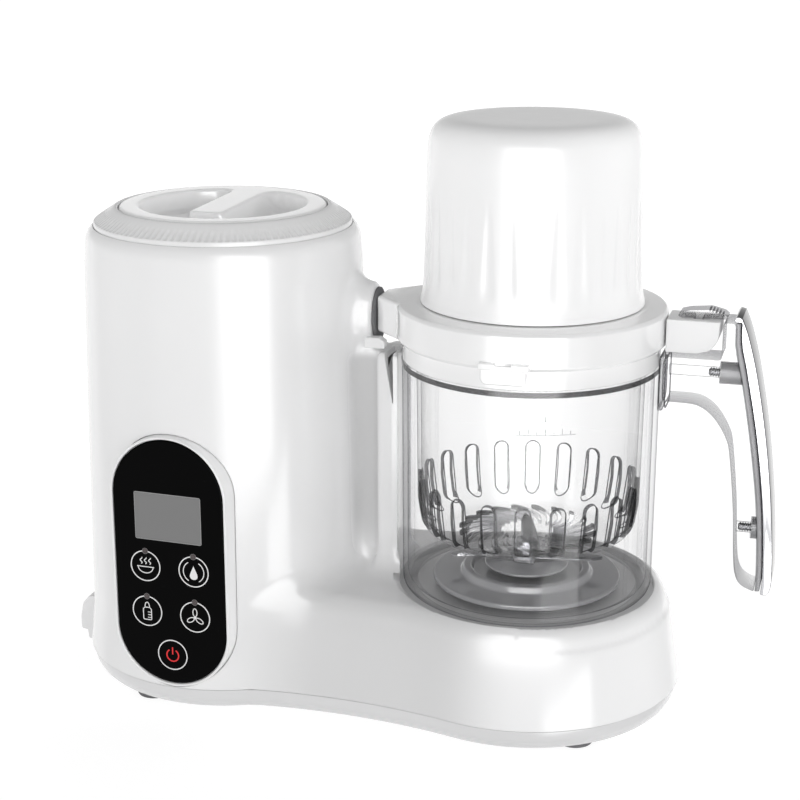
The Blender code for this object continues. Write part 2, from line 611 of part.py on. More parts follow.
# ---------------------------------------------------------------- handle
# Outlines in the plane through the jar axis: (distance from the jar axis, z)
GRIP_INSIDE = [(61.6, 149.6), (72.0, 149.4), (76.6, 148.4), (81.0, 145.6), (85.0, 141.0),
               (88.4, 135.0), (90.3, 128.0), (93.0, 104.0), (94.4, 81.0), (95.7, 72.0),
               (98.6, 67.6), (104.2, 65.2)]
# outer face of the body, which the backing follows
GRIP_SPLIT = [(104.2, 65.2), (104.6, 77.0), (102.9, 105.0), (99.1, 132.5), (94.6, 157.5),
              (91.6, 170.5), (90.4, 177.0)]
BODY_FOOT = [(58.2, 145.2), (60.4, 145.2), (61.6, 146.6)]
BODY_TOP = [(90.2, 185.0), (89.0, 186.2), (86.0, 186.2), (85.0, 185.0), (84.9, 171.6),
            (83.0, 169.6), (60.6, 169.6), (58.2, 167.6)]
# outer face of the backing, which the trim follows
BACKING_OUTSIDE = [(92.4, 186.4), (92.9, 177.0), (95.6, 165.0), (101.0, 137.4), (104.8, 110.0),
                   (106.6, 87.0), (107.1, 72.0), (106.6, 65.4)]
TRIM_OUTSIDE = [(92.8, 191.4), (96.2, 182.0), (100.7, 164.0), (105.7, 137.6), (109.3, 110.0),
                (111.1, 87.0), (HANDLE_REACH, 71.0), (110.6, 65.4), (107.2, 64.4)]
TRIM_TOP = [(93.0, 187.4), (89.8, 187.6), (89.2, 190.2), (91.0, 191.8)]
UPPER_SCREW_Z, LOWER_SCREW_Z = 162.0, 92.0
HANDLE_HALF = HANDLE_W / 2.0


def shifted(line, distance):
    return [(reach + distance, z) for reach, z in line]


def screw_bores(upper, lower):
    """Two bores along X; each entry is (start from the jar axis, profile)."""
    return merge([along_x(profile, JAR_X + reach, z)
                  for (reach, profile), z in ((upper, UPPER_SCREW_Z), (lower, LOWER_SCREW_Z))])


def build_handle_body():
    outline = BODY_FOOT + GRIP_INSIDE + GRIP_SPLIT[1:] + BODY_TOP
    body = place(bevel_all(side_prism(outline, JAR_X, HANDLE_HALF), 0.9, 1, 60),
                 "handle_body", CLEAR, (JAR_X + 58.2, 0, 160))
    cut(body, screw_bores((78.4, stepped(2.4, 4.9, 0, 5.4, 40)),
                          (94.4, stepped(2.4, 4.9, 0, 6.4, 40))))


def build_handle_backing():
    outline = shifted(GRIP_SPLIT[:-1], GAP) + [(90.7, 177.0), (90.5, 186.4)] + BACKING_OUTSIDE
    backing = place(side_prism(outline, JAR_X, HANDLE_HALF - 0.4), "handle_backing", GREY,
                    (JAR_X + 95, 0, 120))
    # bosses round the screws, then their stepped holes
    join(backing, screw_bores((84.2, band(0, 4.5, 0, 10.4)), (101.2, band(0, 4.5, 0, 4.6))))
    cut(backing, screw_bores((82.0, stepped(2.3, 3.9, 0, 11.4, 20)),
                             (99.0, stepped(2.3, 3.9, 0, 5.2, 14))))


def build_handle_trim():
    outline = TRIM_OUTSIDE + shifted(reversed(BACKING_OUTSIDE[1:]), 0.45) + TRIM_TOP
    place(bevel_all(side_prism(outline, JAR_X, HANDLE_HALF + 0.6), 1.0, 1, 60),
          "handle_trim", CHROME, (JAR_X + 104, 0, 120))


def build_handle_screw(name, reach, z, length):
    head_r, shank_r = 3.6, 2.0
    neck = length - 1.6
    turned_x(name, STEEL, [(0, 0), (shank_r * 0.6, 0), (shank_r, 0.8), (shank_r, neck),
                           (head_r, neck), (head_r, length), (0, length)], JAR_X + reach, z, 14)


# ---------------------------------------------------------------- blade unit on its own axis
def build_blade_fittings():
    shaft_r, shaft_top = 2.92, 74.2
    turned("blade_shaft", STEEL, [(0, 45.0), (2.2, 45.6), (shaft_r, 48.0), (shaft_r, shaft_top),
                                  (0, shaft_top)], JAR, 60, 20)
    build_coupling("driven_coupling", low=48.2, high=50.8,
                   teeth_low=43.6, teeth_high=48.8, teeth_turn=math.pi / 3)
    turned("blade_hub", DARK, [(3.3, 64.4), (18.6, 64.4), (19.5, 65.6), (13.0, 67.2),
                               (11.0, 68.2), (3.3, 68.2)], JAR, 64, 28)
    nut_rings = [(6.8, 70.8), (6.8, 74.4), (4.4, 76.4)]     # (radius, z)
    nut = place(loft([level(circle(*JAR, r, 12), z) for r, z in nut_rings]),
                "blade_nut", STEEL, (*JAR, 70.8))
    cut(nut, prism(circle(*JAR, 3.3, 20), 69.0, 74.6))


def blade_strip(tip_z, turn, reach):
    """One wing: a tapering, swept strip from the axis to a raised or lowered tip."""
    root_z, thickness, tip_sweep, root_half_width = 69.0, 1.2, 7.0, 6.2
    rings = []
    for i in range(8):
        s = i / 7.0
        x = reach * s
        z = root_z + (tip_z - root_z) * max(0.0, (s - 0.3) / 0.7) ** 1.5
        middle = tip_sweep * s * s
        half_width = root_half_width * (1 - 0.55 * s)
        low_y, high_y = middle - half_width, middle + half_width
        rings.append([(x, low_y, z), (x, high_y, z),
                      (x, high_y, z + thickness), (x, low_y, z + thickness)])
    return round_jar(loft(rings), turn)


def build_blade_wings():
    low_pair, high_pair = (67.2, 34.0), (76.4, 30.0)     # (tip z, reach)
    wings = place(blade_strip(low_pair[0], 0.0, low_pair[1]), "blade_wings", STEEL, (*JAR, 69))
    for (tip_z, reach), turn in ((low_pair, math.pi), (high_pair, math.pi / 2),
                                 (high_pair, 3 * math.pi / 2)):
        join(wings, blade_strip(tip_z, turn, reach))
    cut(wings, prism(circle(*JAR, 3.3, 20), 60, 80))


# ---------------------------------------------------------------- steaming basket
# (radius, z), up the outside to the flange and down the inside
BASKET_PROFILE = [(0, BASKET_FLOOR_Z), (36.0, BASKET_FLOOR_Z), (43.4, 82.6), (48.2, 88.6),
                  (50.2, 97.0), (50.6, 112.0), (51.2, 160.3), (57.6, 160.3), (57.6, 162.8),
                  (50.8, 162.8), (49.4, 160.6), (48.8, 112.6), (48.4, 97.4), (46.6, 89.6),
                  (42.4, 84.4), (35.6, 81.8), (0, 81.8)]


def side_slot(angle):
    """Upright slot cutter through the basket wall at `angle` round the jar axis."""
    slot = prism(stadium(6.4, 24.0, 2), 40.0, 54.0)
    # stands the outline up: its height along Z, its extrusion along +X
    upright = Matrix(((0, 0, 1, 0), (1, 0, 0, 0), (0, 1, 0, 0), (0, 0, 0, 1)))
    matrix = Matrix.Translation((*JAR, 96.0)) @ (Matrix.Rotation(angle, 4, "Z") @ upright)
    bmesh.ops.transform(slot, matrix=matrix, verts=slot.verts)
    return slot


def build_basket():
    basket = turned("basket", CLEAR, BASKET_PROFILE, JAR, BASKET_FLOOR_Z)
    cut(basket, merge([side_slot(2 * math.pi * (k + 0.5) / BASKET_SLOTS)
                       for k in range(BASKET_SLOTS)]))
    slot = [(10.0, -1.2), (30.0, -5.0), (30.8, -2.2), (10.0, 1.4)]
    cut(basket, merge([round_jar(prism(slot, 78.0, 84.0), 2 * math.pi * k / BASKET_FLOOR_SLOTS)
                       for k in range(BASKET_FLOOR_SLOTS)]))


# ---------------------------------------------------------------- lid, latch and dome cap
# (radius, z)
LID_PROFILE = [(55.0, LID_BOTTOM_Z), (57.5, LID_BOTTOM_Z), (57.5, 171.4), (59.2, 171.4),
               (LID_R, 173.0), (LID_R, 186.8), (59.0, LID_TOP_Z), (51.6, 188.9), (45.7, 188.9),
               (45.7, 194.4), (43.4, 194.4), (43.4, 185.8), (55.0, 183.6)]
DOME_PROFILE = [(0, 267.4), (34.0, 267.4), (41.6, 262.6), (43.5, 253.0), (44.4, 230.0),
                (46.6, DOME_BASE_Z), (49.6, DOME_BASE_Z), (48.6, 194.0), (46.8, 232.0),
                (46.1, 254.0), (44.9, 261.6), (41.4, 267.0), (34.4, 269.7), (28.0, DOME_TOP_Z),
                (0, DOME_TOP_Z)]
# (distance from the jar axis, z)
LATCH_OUTLINE = [(60.7, 186.4), (60.7, 171.8), (74.0, 171.8), (78.2, 172.7), (81.4, 175.2),
                 (83.2, 178.8), (83.8, 183.0), (83.8, 186.4)]
BUTTON_OUTLINE = [(65.0, 187.2), (66.0, 186.8), (71.8, 186.8), (71.8, 179.0), (75.4, 179.0),
                  (75.4, 186.8), (85.6, 186.8), (86.6, 187.6), (84.6, 189.2), (79.0, 190.6),
                  (70.0, 189.8), (66.0, 188.8)]


def build_lid():
    lid = turned("lid_body", WHITE, LID_PROFILE, JAR, LID_BOTTOM_Z)
    # spout towards the tower; its root follows the lid wall
    tip = [(-57.0, -19.6), (-69.5, -7.5), (-69.5, 7.5), (-57.0, 19.6)]
    root_r = 57.8
    root = [(-root_r * math.cos(math.radians(degrees)), root_r * math.sin(math.radians(degrees)))
            for degrees in (17.5, 10.5, 3.5, -3.5, -10.5, -17.5)]
    spout = prism([(JAR_X + x, y) for x, y in tip + root], 171.6, 187.9)
    join(lid, bevel_all(spout, 1.4, 2, 42.0))
    # block low on the front of the lid
    join(lid, bevel_all(box(JAR_X - 10.75, JAR_X + 10.75, -61.7, -56.4, 167.0, 175.4), 1.2, 1))
    cut(lid, along_x(band(0, 5.2, 0, 22), JAR_X - 73.0, SPOUT_Z, 18))


def build_lid_seals():
    turned_x("spout_seal", RUBBER, band(3.6, 4.9, 0, 5.0), JAR_X - 69.9, SPOUT_Z, 18)
    turned("lid_gasket", SILICONE, [(51.2, 163.4), (54.6, 163.4), (54.6, 166.2), (51.2, 165.4)],
           JAR, 163.4)


def build_latch():
    latch = place(bevel_all(side_prism(LATCH_OUTLINE, JAR_X, 9.0), 1.0, 1, 60),
                  "latch_housing", WHITE, (JAR_X + 60.7, 0, 180))
    cut(latch, box(JAR_X + 66.6, JAR_X + 79.0, -5.0, 5.0, 177.6, 190.0))
    place(side_prism(BUTTON_OUTLINE, JAR_X, 4.6), "latch_button", WHITE, (JAR_X + 65, 0, 188))


# ---------------------------------------------------------------- build
build_housing()
build_base_plate()
build_feet_and_base_screws()
build_tank()
build_heater()
build_steam_port()
build_tank_lid()
build_panel()
build_power_inlet()
build_motor()
build_cooling_fan()
build_coupling("drive_coupling", low=40.4, high=43.2,
               teeth_low=42.6, teeth_high=47.4, teeth_turn=0.0)
build_safety_switch()
build_jar()
build_blade_seat()
build_handle_body()
build_handle_backing()
build_handle_trim()
build_handle_screw("handle_screw_upper", reach=79.0, z=UPPER_SCREW_Z, length=16.4)
build_handle_screw("handle_screw_lower", reach=95.2, z=LOWER_SCREW_Z, length=10.8)
build_blade_fittings()
build_blade_wings()
build_basket()
build_lid()
build_lid_seals()
build_latch()
turned("dome_cap", WHITE, DOME_PROFILE, JAR, DOME_BASE_Z)
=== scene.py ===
"""Steaming and blending food maker.

A tower (water tank, touch panel) stands at TOWER_X. A handled jar stands beside it, towards
+X, at JAR_X, and holds the blades and the steaming basket under a lid and a fluted dome.
+Z is up, the floor is z = 0, the panel faces -Y and the jar's handle points to +X.
Lengths are in mm; make() turns them into metres.
"""
import math

import bmesh
import bpy
import numpy as np
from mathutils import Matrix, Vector


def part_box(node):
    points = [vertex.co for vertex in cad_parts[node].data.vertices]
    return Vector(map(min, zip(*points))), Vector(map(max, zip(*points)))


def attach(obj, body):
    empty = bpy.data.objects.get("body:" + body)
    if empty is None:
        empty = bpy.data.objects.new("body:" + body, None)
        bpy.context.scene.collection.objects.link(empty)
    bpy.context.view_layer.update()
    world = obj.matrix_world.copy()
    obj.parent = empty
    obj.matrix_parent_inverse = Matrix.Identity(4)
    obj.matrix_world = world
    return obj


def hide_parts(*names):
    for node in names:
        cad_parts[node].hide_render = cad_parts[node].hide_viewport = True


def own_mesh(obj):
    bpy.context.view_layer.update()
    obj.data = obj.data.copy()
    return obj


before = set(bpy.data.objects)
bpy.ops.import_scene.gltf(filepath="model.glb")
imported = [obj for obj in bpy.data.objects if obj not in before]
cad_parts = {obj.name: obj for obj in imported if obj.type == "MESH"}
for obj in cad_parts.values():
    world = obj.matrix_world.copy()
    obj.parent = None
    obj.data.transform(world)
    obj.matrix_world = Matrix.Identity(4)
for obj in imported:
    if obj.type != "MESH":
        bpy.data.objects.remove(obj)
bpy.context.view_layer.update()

MM = 0.001
SCENE = bpy.context.scene


def centre_of(name):
    low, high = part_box(name)
    return (Vector(low) + Vector(high)) * 500.0          # in mm


TOWER_X = centre_of("tank_ring").x
JAR_X = centre_of("jar").x
AXIS_GAP = JAR_X - TOWER_X
HOUSING_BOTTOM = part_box("housing")[0][2] * 1000
PORT_Z = 178.0                                           # height of the steam port's axis
CAMERA_TURN = math.radians(15.6)                         # camera's turn about Z, to the +X side


# ===================================================================== shader helpers
def feed(tree, shader, values):
    """Set inputs of a node; a value may also be the socket to link from."""
    for key, value in values.items():
        if isinstance(value, bpy.types.NodeSocket):
            tree.links.new(value, shader.inputs[key])
        else:
            shader.inputs[key].default_value = value


def add(tree, kind, inputs=None, **settings):
    made = tree.nodes.new("ShaderNode" + kind)
    for key, value in settings.items():
        setattr(made, key, value)
    feed(tree, made, inputs or {})
    return made


def new_material(name):
    material = bpy.data.materials.new(name)
    material.use_nodes = True
    tree = material.node_tree
    return material, tree, tree.nodes["Principled BSDF"]


def surface_mix(name, build):
    """A material that mixes the (factor, first, second) which build(tree) returns."""
    material, tree, _ = new_material(name)
    tree.nodes.clear()
    mixed = add(tree, "MixShader", dict(enumerate(build(tree))))
    add(tree, "OutputMaterial", {"Surface": mixed.outputs[0]})
    return material


def coords(tree, scale=(1, 1, 1)):
    place = add(tree, "TexCoord").outputs["Object"]
    return add(tree, "Mapping", {"Scale": scale, "Vector": place}).outputs["Vector"]


def rgba(colour):
    """A colour, or a number for a grey, with full alpha."""
    return (colour,) * 3 + (1,) if isinstance(colour, (int, float)) else (*colour, 1)


def ramp(tree, factor, stops):
    """Colour ramp through (position, colour) stops."""
    made = add(tree, "ValToRGB", {"Fac": factor})
    elements = made.color_ramp.elements
    while len(elements) < len(stops):
        elements.new(0.5)
    for element, (position, colour) in zip(elements, stops):
        element.position = position
        element.color = rgba(colour)
    return made.outputs["Color"]


def shades(tree, factor, colour, vary, low, high):
    """Drift from a darker to a lighter shade between two ramp positions."""
    darker = tuple(max(0.0, c * (1 - vary)) for c in colour)
    lighter = tuple(min(1.0, c * (1 + vary)) for c in colour)
    return ramp(tree, factor, [(low, darker), (high, lighter)])


def noise(tree, vector, scale, detail=3.0):
    values = {"Scale": scale, "Detail": detail, "Vector": vector}
    return add(tree, "TexNoise", values).outputs["Fac"]


def map_range(tree, value, to_min=0.0, to_max=1.0, from_min=0.0, from_max=1.0, smooth=False):
    values = {"Value": value, "From Min": from_min, "From Max": from_max,
              "To Min": to_min, "To Max": to_max}
    kind = "SMOOTHSTEP" if smooth else "LINEAR"
    return add(tree, "MapRange", values, interpolation_type=kind).outputs["Result"]


def calc(tree, operation, *values):
    return add(tree, "Math", dict(enumerate(values)), operation=operation).outputs[0]


def mix(tree, factor, first, second, blend="MIX"):
    values = {"Factor": factor}
    for key, value in (("A", first), ("B", second)):
        values[key] = value if isinstance(value, bpy.types.NodeSocket) else rgba(value)
    made = add(tree, "Mix", values, data_type="RGBA", blend_type=blend)
    return made.outputs["Result"]


def bump_normal(tree, height, strength, distance, normal=None):
    values = {"Height": height, "Strength": strength, "Distance": distance}
    if normal:
        values["Normal"] = normal
    return add(tree, "Bump", values).outputs["Normal"]


def soft_edges(tree, radius):
    return add(tree, "Bevel", {"Radius": radius * MM}, samples=4).outputs["Normal"]


# ===================================================================== materials
def moulded(name, colour, rough=0.16, vary=0.012, bump=0.02, grain=900.0, edge=0.35,
            coat=0.0, spec=0.5, ripple=0.006):
    """Moulded plastic: faint tone drift, fine grain, slow ripple in the gloss, soft edges."""
    material, tree, shader = new_material(name)
    place = coords(tree)
    tone = noise(tree, place, scale=14.0, detail=4.0)
    fine = noise(tree, place, scale=grain, detail=2.0)
    slow = noise(tree, place, scale=45.0)
    normal = soft_edges(tree, edge) if edge > 0 else None
    normal = bump_normal(tree, fine, strength=bump, distance=0.0001, normal=normal)
    normal = bump_normal(tree, slow, strength=ripple, distance=0.002, normal=normal)
    feed(tree, shader, {
        "Base Color": shades(tree, tone, colour, vary, low=0.3, high=0.7),
        "Roughness": map_range(tree, slow, rough * 0.8, rough * 1.25),
        "Normal": normal,
        "Specular IOR Level": spec,
        "Coat Weight": coat,
        "Coat Roughness": 0.05,
    })
    return material


def dark_clear_painted_shade(name, tint, rough):
    """Dark-tinted clear plastic with faint flow lines and slightly uneven gloss, used as painted
    shade.
    """
    material, tree, shader = new_material(name)
    place = coords(tree, scale=(1, 1, 0.25))
    flow = noise(tree, place, scale=60.0)
    gloss = noise(tree, place, scale=120.0, detail=2.0)
    feed(tree, shader, {
        "Base Color": ramp(tree, flow, [(0.2, tuple(c * 0.99 for c in tint)), (0.8, tint)]),
        "Roughness": map_range(tree, gloss, rough * 0.6, rough * 1.8),
        "Normal": bump_normal(tree, flow, strength=0.03, distance=0.0006),
        "Transmission Weight": 1.0,
        "IOR": 1.5,
    })
    return material


def metal(name, colour, rough, brushed=0.0, turned=None):
    """Metal; turned paints light and shade into it by (facing, grey) stops as it turns from the eye:
    a painted reflection.
    """
    material, tree, shader = new_material(name)
    place = coords(tree, scale=(1, 1, 18) if brushed else (1, 1, 1))
    wear = noise(tree, place, scale=260.0 if brushed else 90.0, detail=4.0)
    tone = shades(tree, wear, colour, vary=0.03, low=0.25, high=0.75)
    if turned:
        facing = add(tree, "LayerWeight", {"Blend": 0.5}).outputs["Facing"]
        tone = mix(tree, 1.0, tone, ramp(tree, facing, turned), "MULTIPLY")
    feed(tree, shader, {
        "Base Color": tone,
        "Roughness": map_range(tree, wear, rough * 0.75, rough * 1.3),
        "Normal": bump_normal(tree, wear, strength=0.02 + 0.12 * brushed, distance=0.0002,
                              normal=soft_edges(tree, 0.3)),
        "Metallic": 1.0,
    })
    return material


def thin_clear(name, stops, gloss):
    """Clear plastic, tinted by (facing, colour) stops as it turns edge-on; the darker edge-on stops
    are painted shade in place of refraction.
    """
    def build(tree):
        facing = add(tree, "LayerWeight", {"Blend": 0.5}).outputs["Facing"]
        place = coords(tree, scale=(1, 1, 0.3))
        flow = noise(tree, place, scale=70.0)
        uneven = calc(tree, "MULTIPLY_ADD", flow, 0.02, facing)
        clear = add(tree, "BsdfTransparent", {"Color": ramp(tree, uneven, stops)})
        rough = map_range(tree, noise(tree, place, scale=150.0, detail=2.0), 0.02, 0.06)
        shine = add(tree, "BsdfGlossy", {"Roughness": rough})
        factor = map_range(tree, calc(tree, "POWER", facing, 4.0), 0.035 * gloss, gloss)
        return factor, clear.outputs[0], shine.outputs[0]

    return surface_mix(name, build)


def shell_white():
    """The shell's gloss white, matt in the channel beside the jar, with painted shade in that
    channel and low on the base between tower and jar, and painted light low at the base's jar end."""
    gloss_spec, gloss_coat = 0.5, 0.15
    material = moulded("white_gloss_housing_painted_shading", (0.87, 0.87, 0.873), rough=0.19, coat=gloss_coat)
    tree = material.node_tree
    shader = tree.nodes["Principled BSDF"]
    split = add(tree, "SeparateXYZ", {0: coords(tree)})
    axes = {"x": split.outputs["X"], "z": split.outputs["Z"],
            "y": calc(tree, "ABSOLUTE", split.outputs["Y"])}

    def zone(*steps):
        """Product of smooth steps (axis, start, end, value before, value after)."""
        product = None
        for axis, start, end, before, after in steps:
            if axis == "x":
                start, end = TOWER_X + start, TOWER_X + end
            step = map_range(tree, axes[axis], before, after, start * MM, end * MM, smooth=True)
            product = calc(tree, "MULTIPLY", product, step) if product else step
        return product

    # the channel beside the jar is matt and carries painted shade
    channel = zone(("y", 8.5, 17.0, 1, 0), ("x", 59, 66, 0, 1), ("x", 76.2, 77.4, 1, 0),
                   ("z", 58, 84, 0, 1), ("z", 158, 164, 1, 0))
    # painted shade low on the base, between the tower and the jar
    low = zone(("z", 46, 84, 1, 0), ("x", 14, 66, 0, 1), ("x", 112, 156, 1, 0))
    # painted light low on the base at the jar's end
    far_end_painted_light = zone(("z", 46, 84, 1, 0), ("x", 122, 160, 0, 1))
    colour = shader.inputs["Base Color"].links[0].from_socket
    for factor, shade in ((channel, 0.76), (low, 0.83), (far_end_painted_light, 1.09)):
        colour = mix(tree, factor, colour, shade, "MULTIPLY")
    rough = shader.inputs["Roughness"].links[0].from_socket
    feed(tree, shader, {
        "Base Color": colour,
        "Roughness": calc(tree, "MULTIPLY_ADD", channel, 0.5, rough),
        "Specular IOR Level": map_range(tree, channel, gloss_spec, 0.0),
        "Coat Weight": map_range(tree, channel, gloss_coat, 0.0),
    })
    return material


def power_red():
    material, tree, shader = new_material("power_red")
    mottle = noise(tree, coords(tree), scale=300.0, detail=2.0)
    colour = ramp(tree, mottle, [(0.3, (0.50, 0.010, 0.012)), (0.7, (0.60, 0.014, 0.016))])
    feed(tree, shader, {"Base Color": colour, "Emission Color": colour,
                        "Emission Strength": 0.35, "Roughness": 0.5})
    return material


WHITE = moulded("white_gloss_shell", (0.87, 0.87, 0.873), rough=0.19, coat=0.15)
WHITE_LID = moulded("white_gloss_lid", (0.92, 0.92, 0.922), rough=0.10, coat=0.8, spec=0.7)
WHITE_LATCH = moulded("white_satin_latch", (0.80, 0.80, 0.803), rough=0.38, spec=0.3)
WHITE_DOME = moulded("white_gloss_dome", (0.93, 0.93, 0.932), rough=0.22)
WHITE_SHELL_PAINTED_SHADING = shell_white()
# the base tray's darker white is painted shade on its low, downward-facing band
WHITE_BASE_PAINTED_SHADE = moulded("white_gloss_base_painted_shade", (0.74, 0.74, 0.745), rough=0.2)
WHITE_TANK = moulded("white_cap", (0.88, 0.88, 0.882), rough=0.24)
WHITE_CAP = moulded("white_cap_grip", (0.95, 0.95, 0.952), rough=0.2, coat=0.5, spec=0.8)
feed(WHITE_CAP.node_tree, WHITE_CAP.node_tree.nodes["Principled BSDF"],
     {"Sheen Weight": 0.9, "Sheen Roughness": 0.45})

# the clear materials below darken edge-on through their stops: painted shade
CLEAR_BASKET = thin_clear("clear_basket", [
    (0.0, 0.985), (0.72, 0.975), (0.88, (0.88, 0.88, 0.885)), (0.98, (0.45, 0.45, 0.46)),
], gloss=0.5)
# dark clear for the slots' cut walls: painted shade
CLEAR_EDGE_PAINTED_SHADE = thin_clear("clear_cut_edge_painted_shade", [
    (0.0, (0.16, 0.16, 0.165)), (0.5, (0.22, 0.22, 0.225)), (1.0, (0.45, 0.45, 0.46)),
], gloss=0.4)
# grey clear for the beads: painted shade along edges
CLEAR_BEAD_PAINTED_SHADE = thin_clear("clear_bead_painted_shade", [
    (0.0, (0.44, 0.44, 0.45)), (1.0, (0.52, 0.52, 0.53)),
], gloss=0.2)
CLEAR_WALL = thin_clear("clear_jar.001", [
    (0.0, (0.99, 0.99, 0.991)), (0.62, (0.98, 0.98, 0.981)), (0.84, (0.89, 0.89, 0.895)),
    (0.93, (0.62, 0.62, 0.63)), (1.0, (0.26, 0.26, 0.265)),
], gloss=0.34)
CLEAR_FOOT = thin_clear("clear_jar_foot", [
    (0.0, (0.93, 0.93, 0.931)), (0.5, (0.86, 0.86, 0.862)), (0.8, (0.62, 0.62, 0.625)),
    (1.0, (0.22, 0.22, 0.225)),
], gloss=0.45)
# grey clear for the floor slots' walls: painted shade
CLEAR_SLOT_PAINTED_SHADE = thin_clear("clear_floor_slot_painted_shade", [
    (0.0, (0.52, 0.52, 0.53)), (0.5, (0.60, 0.60, 0.61)), (1.0, (0.72, 0.72, 0.73)),
], gloss=0.4)
CLEAR_GRIP = thin_clear("clear_grip", [
    (0.0, (0.992, 0.992, 0.993)), (0.42, (0.975, 0.975, 0.976)), (0.62, (0.62, 0.62, 0.625)),
    (0.80, (0.40, 0.40, 0.41)), (1.0, (0.32, 0.32, 0.33)),
], gloss=0.4)
# dark clear for the rim's edge: painted shade
RIM_PAINTED_SHADE = dark_clear_painted_shade("rim_painted_shade", tint=(0.13, 0.13, 0.133), rough=0.06)

# the chrome's facing stops are a painted reflection: brighter facing the eye, dark where it turns
# away
CHROME = metal("chrome_trim", (0.50, 0.50, 0.515), rough=0.06,
               turned=[(0.0, 1.25), (0.42, 1.15), (0.60, 0.50), (0.70, 0.26), (1.0, 0.22)])
STEEL = metal("steel_brushed", (0.52, 0.52, 0.54), rough=0.24, brushed=1.0)
SCREW = metal("screw_zinc", (0.30, 0.30, 0.31), rough=0.3, brushed=0.3)
BLADE = metal("blade_steel", (0.36, 0.36, 0.37), rough=0.2, brushed=0.5)
BRASS = metal("bush_metal", (0.50, 0.47, 0.42), rough=0.25, brushed=0.6)
ALLOY = metal("alloy_cast", (0.66, 0.66, 0.68), rough=0.38)

GREY = moulded("grey_backing", (0.30, 0.30, 0.31), rough=0.32, bump=0.05)
GREY_DISC = moulded("grey_disc", (0.34, 0.34, 0.35), rough=0.10, bump=0.03, coat=0.6)
DARK = moulded("dark_satin", (0.035, 0.035, 0.038), rough=0.4, bump=0.08, vary=0.1)
RUBBER = moulded("rubber_matte", (0.12, 0.12, 0.125), rough=0.72, bump=0.25, grain=1400,
                 vary=0.08)
SILICONE = moulded("silicone_pale", (0.62, 0.63, 0.64), rough=0.5, bump=0.12, vary=0.03)
GLASS = moulded("black_touch_glass", (0.0012, 0.0012, 0.0013), rough=0.03, bump=0.004,
                edge=0.25, vary=0.1, ripple=0.001, spec=0.035)
LCD = moulded("display_window", (0.215, 0.215, 0.215), rough=0.35, bump=0.01, edge=0.0,
              vary=0.006, spec=0.2)
PRINT = moulded("printed_white", (0.82, 0.82, 0.82), rough=0.5, bump=0.02, edge=0.0)
LED = moulded("led_window", (0.07, 0.055, 0.055), rough=0.25, bump=0.02, edge=0.0)
BOARD = moulded("board_green", (0.03, 0.20, 0.09), rough=0.45, bump=0.3, grain=500, vary=0.15)
RED = power_red()


# ===================================================================== mesh tools
def sharpen(mesh, degrees):
    mesh.set_sharp_from_angle(angle=math.radians(degrees))


def make(name, verts, faces, material, body, smooth=True, sharp=40.0, slot=None):
    mesh = bpy.data.meshes.new(name)
    points = np.asarray(verts, np.float64) * MM
    mesh.from_pydata(points.tolist(), [], [list(map(int, face)) for face in faces])
    mesh.validate()
    mesh.update()
    if smooth:
        mesh.shade_smooth()
        if sharp:
            sharpen(mesh, sharp)
    obj = bpy.data.objects.new(name, mesh)
    SCENE.collection.objects.link(obj)
    if material is not None:
        mesh.materials.append(material)
    if body is not None:
        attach(obj, body)
    return obj


def register(obj, body, cad_name):
    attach(obj, body)
    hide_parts(cad_name)


def faces_out(obj):
    bm = bmesh.new()
    bm.from_mesh(obj.data)
    bmesh.ops.recalc_face_normals(bm, faces=bm.faces)
    bm.to_mesh(obj.data)
    bm.free()
    return obj


def settle(obj, sharp, cad_name):
    faces_out(obj)
    sharpen(obj.data, sharp)
    if cad_name:
        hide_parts(cad_name)
    return obj


def grid_faces(rows, cols, wrap_rows=False):
    """Quads over a grid of points whose columns close into rings."""
    faces = []
    for i in range(rows if wrap_rows else rows - 1):
        for j in range(cols):
            a, b = i * cols + j, i * cols + (j + 1) % cols
            c, d = ((i + 1) % rows) * cols + (j + 1) % cols, ((i + 1) % rows) * cols + j
            faces.append((a, b, c, d))
    return faces


def skin(rings, loop=False):
    """Points and faces through rings, with flat ends unless the last joins the first."""
    rings = [np.asarray(ring, float) for ring in rings]
    size = len(rings[0])
    faces = grid_faces(len(rings), size, loop)
    if not loop:
        last = (len(rings) - 1) * size
        faces += [tuple(range(size)), tuple(last + i for i in reversed(range(size)))]
    return np.concatenate(rings), faces


def fillet(points, radii, seg=5, closed=True):
    """Round the corners of a 2-D line. radii: one for all or one per point, 0 keeps it."""
    points = [np.array(p, float) for p in points]
    count = len(points)
    out = []
    for i in range(count):
        radius = radii if np.isscalar(radii) else radii[i]
        if (not closed and i in (0, count - 1)) or radius <= 0:
            out.append(points[i])
            continue
        before, corner, after = points[i - 1], points[i], points[(i + 1) % count]
        u, w = before - corner, after - corner
        len_u, len_w = np.linalg.norm(u), np.linalg.norm(w)
        u, w = u / len_u, w / len_w
        angle = math.acos(max(-1, min(1, float(u @ w))))
        if angle > math.pi - 0.02:
            out.append(corner)
            continue
        trim = min(radius / math.tan(angle / 2), 0.49 * len_u, 0.49 * len_w)
        fitted = trim * math.tan(angle / 2)
        bisector = (u + w) / np.linalg.norm(u + w)
        centre = corner + bisector * (fitted / math.sin(angle / 2))
        start = math.atan2(*(corner + u * trim - centre)[::-1])
        end = math.atan2(*(corner + w * trim - centre)[::-1])
        sweep = (end - start + math.pi) % (2 * math.pi) - math.pi
        for k in range(seg + 1):
            turn = start + sweep * k / seg
            out.append(centre + fitted * np.array([math.cos(turn), math.sin(turn)]))
    return [tuple(p) for p in out]


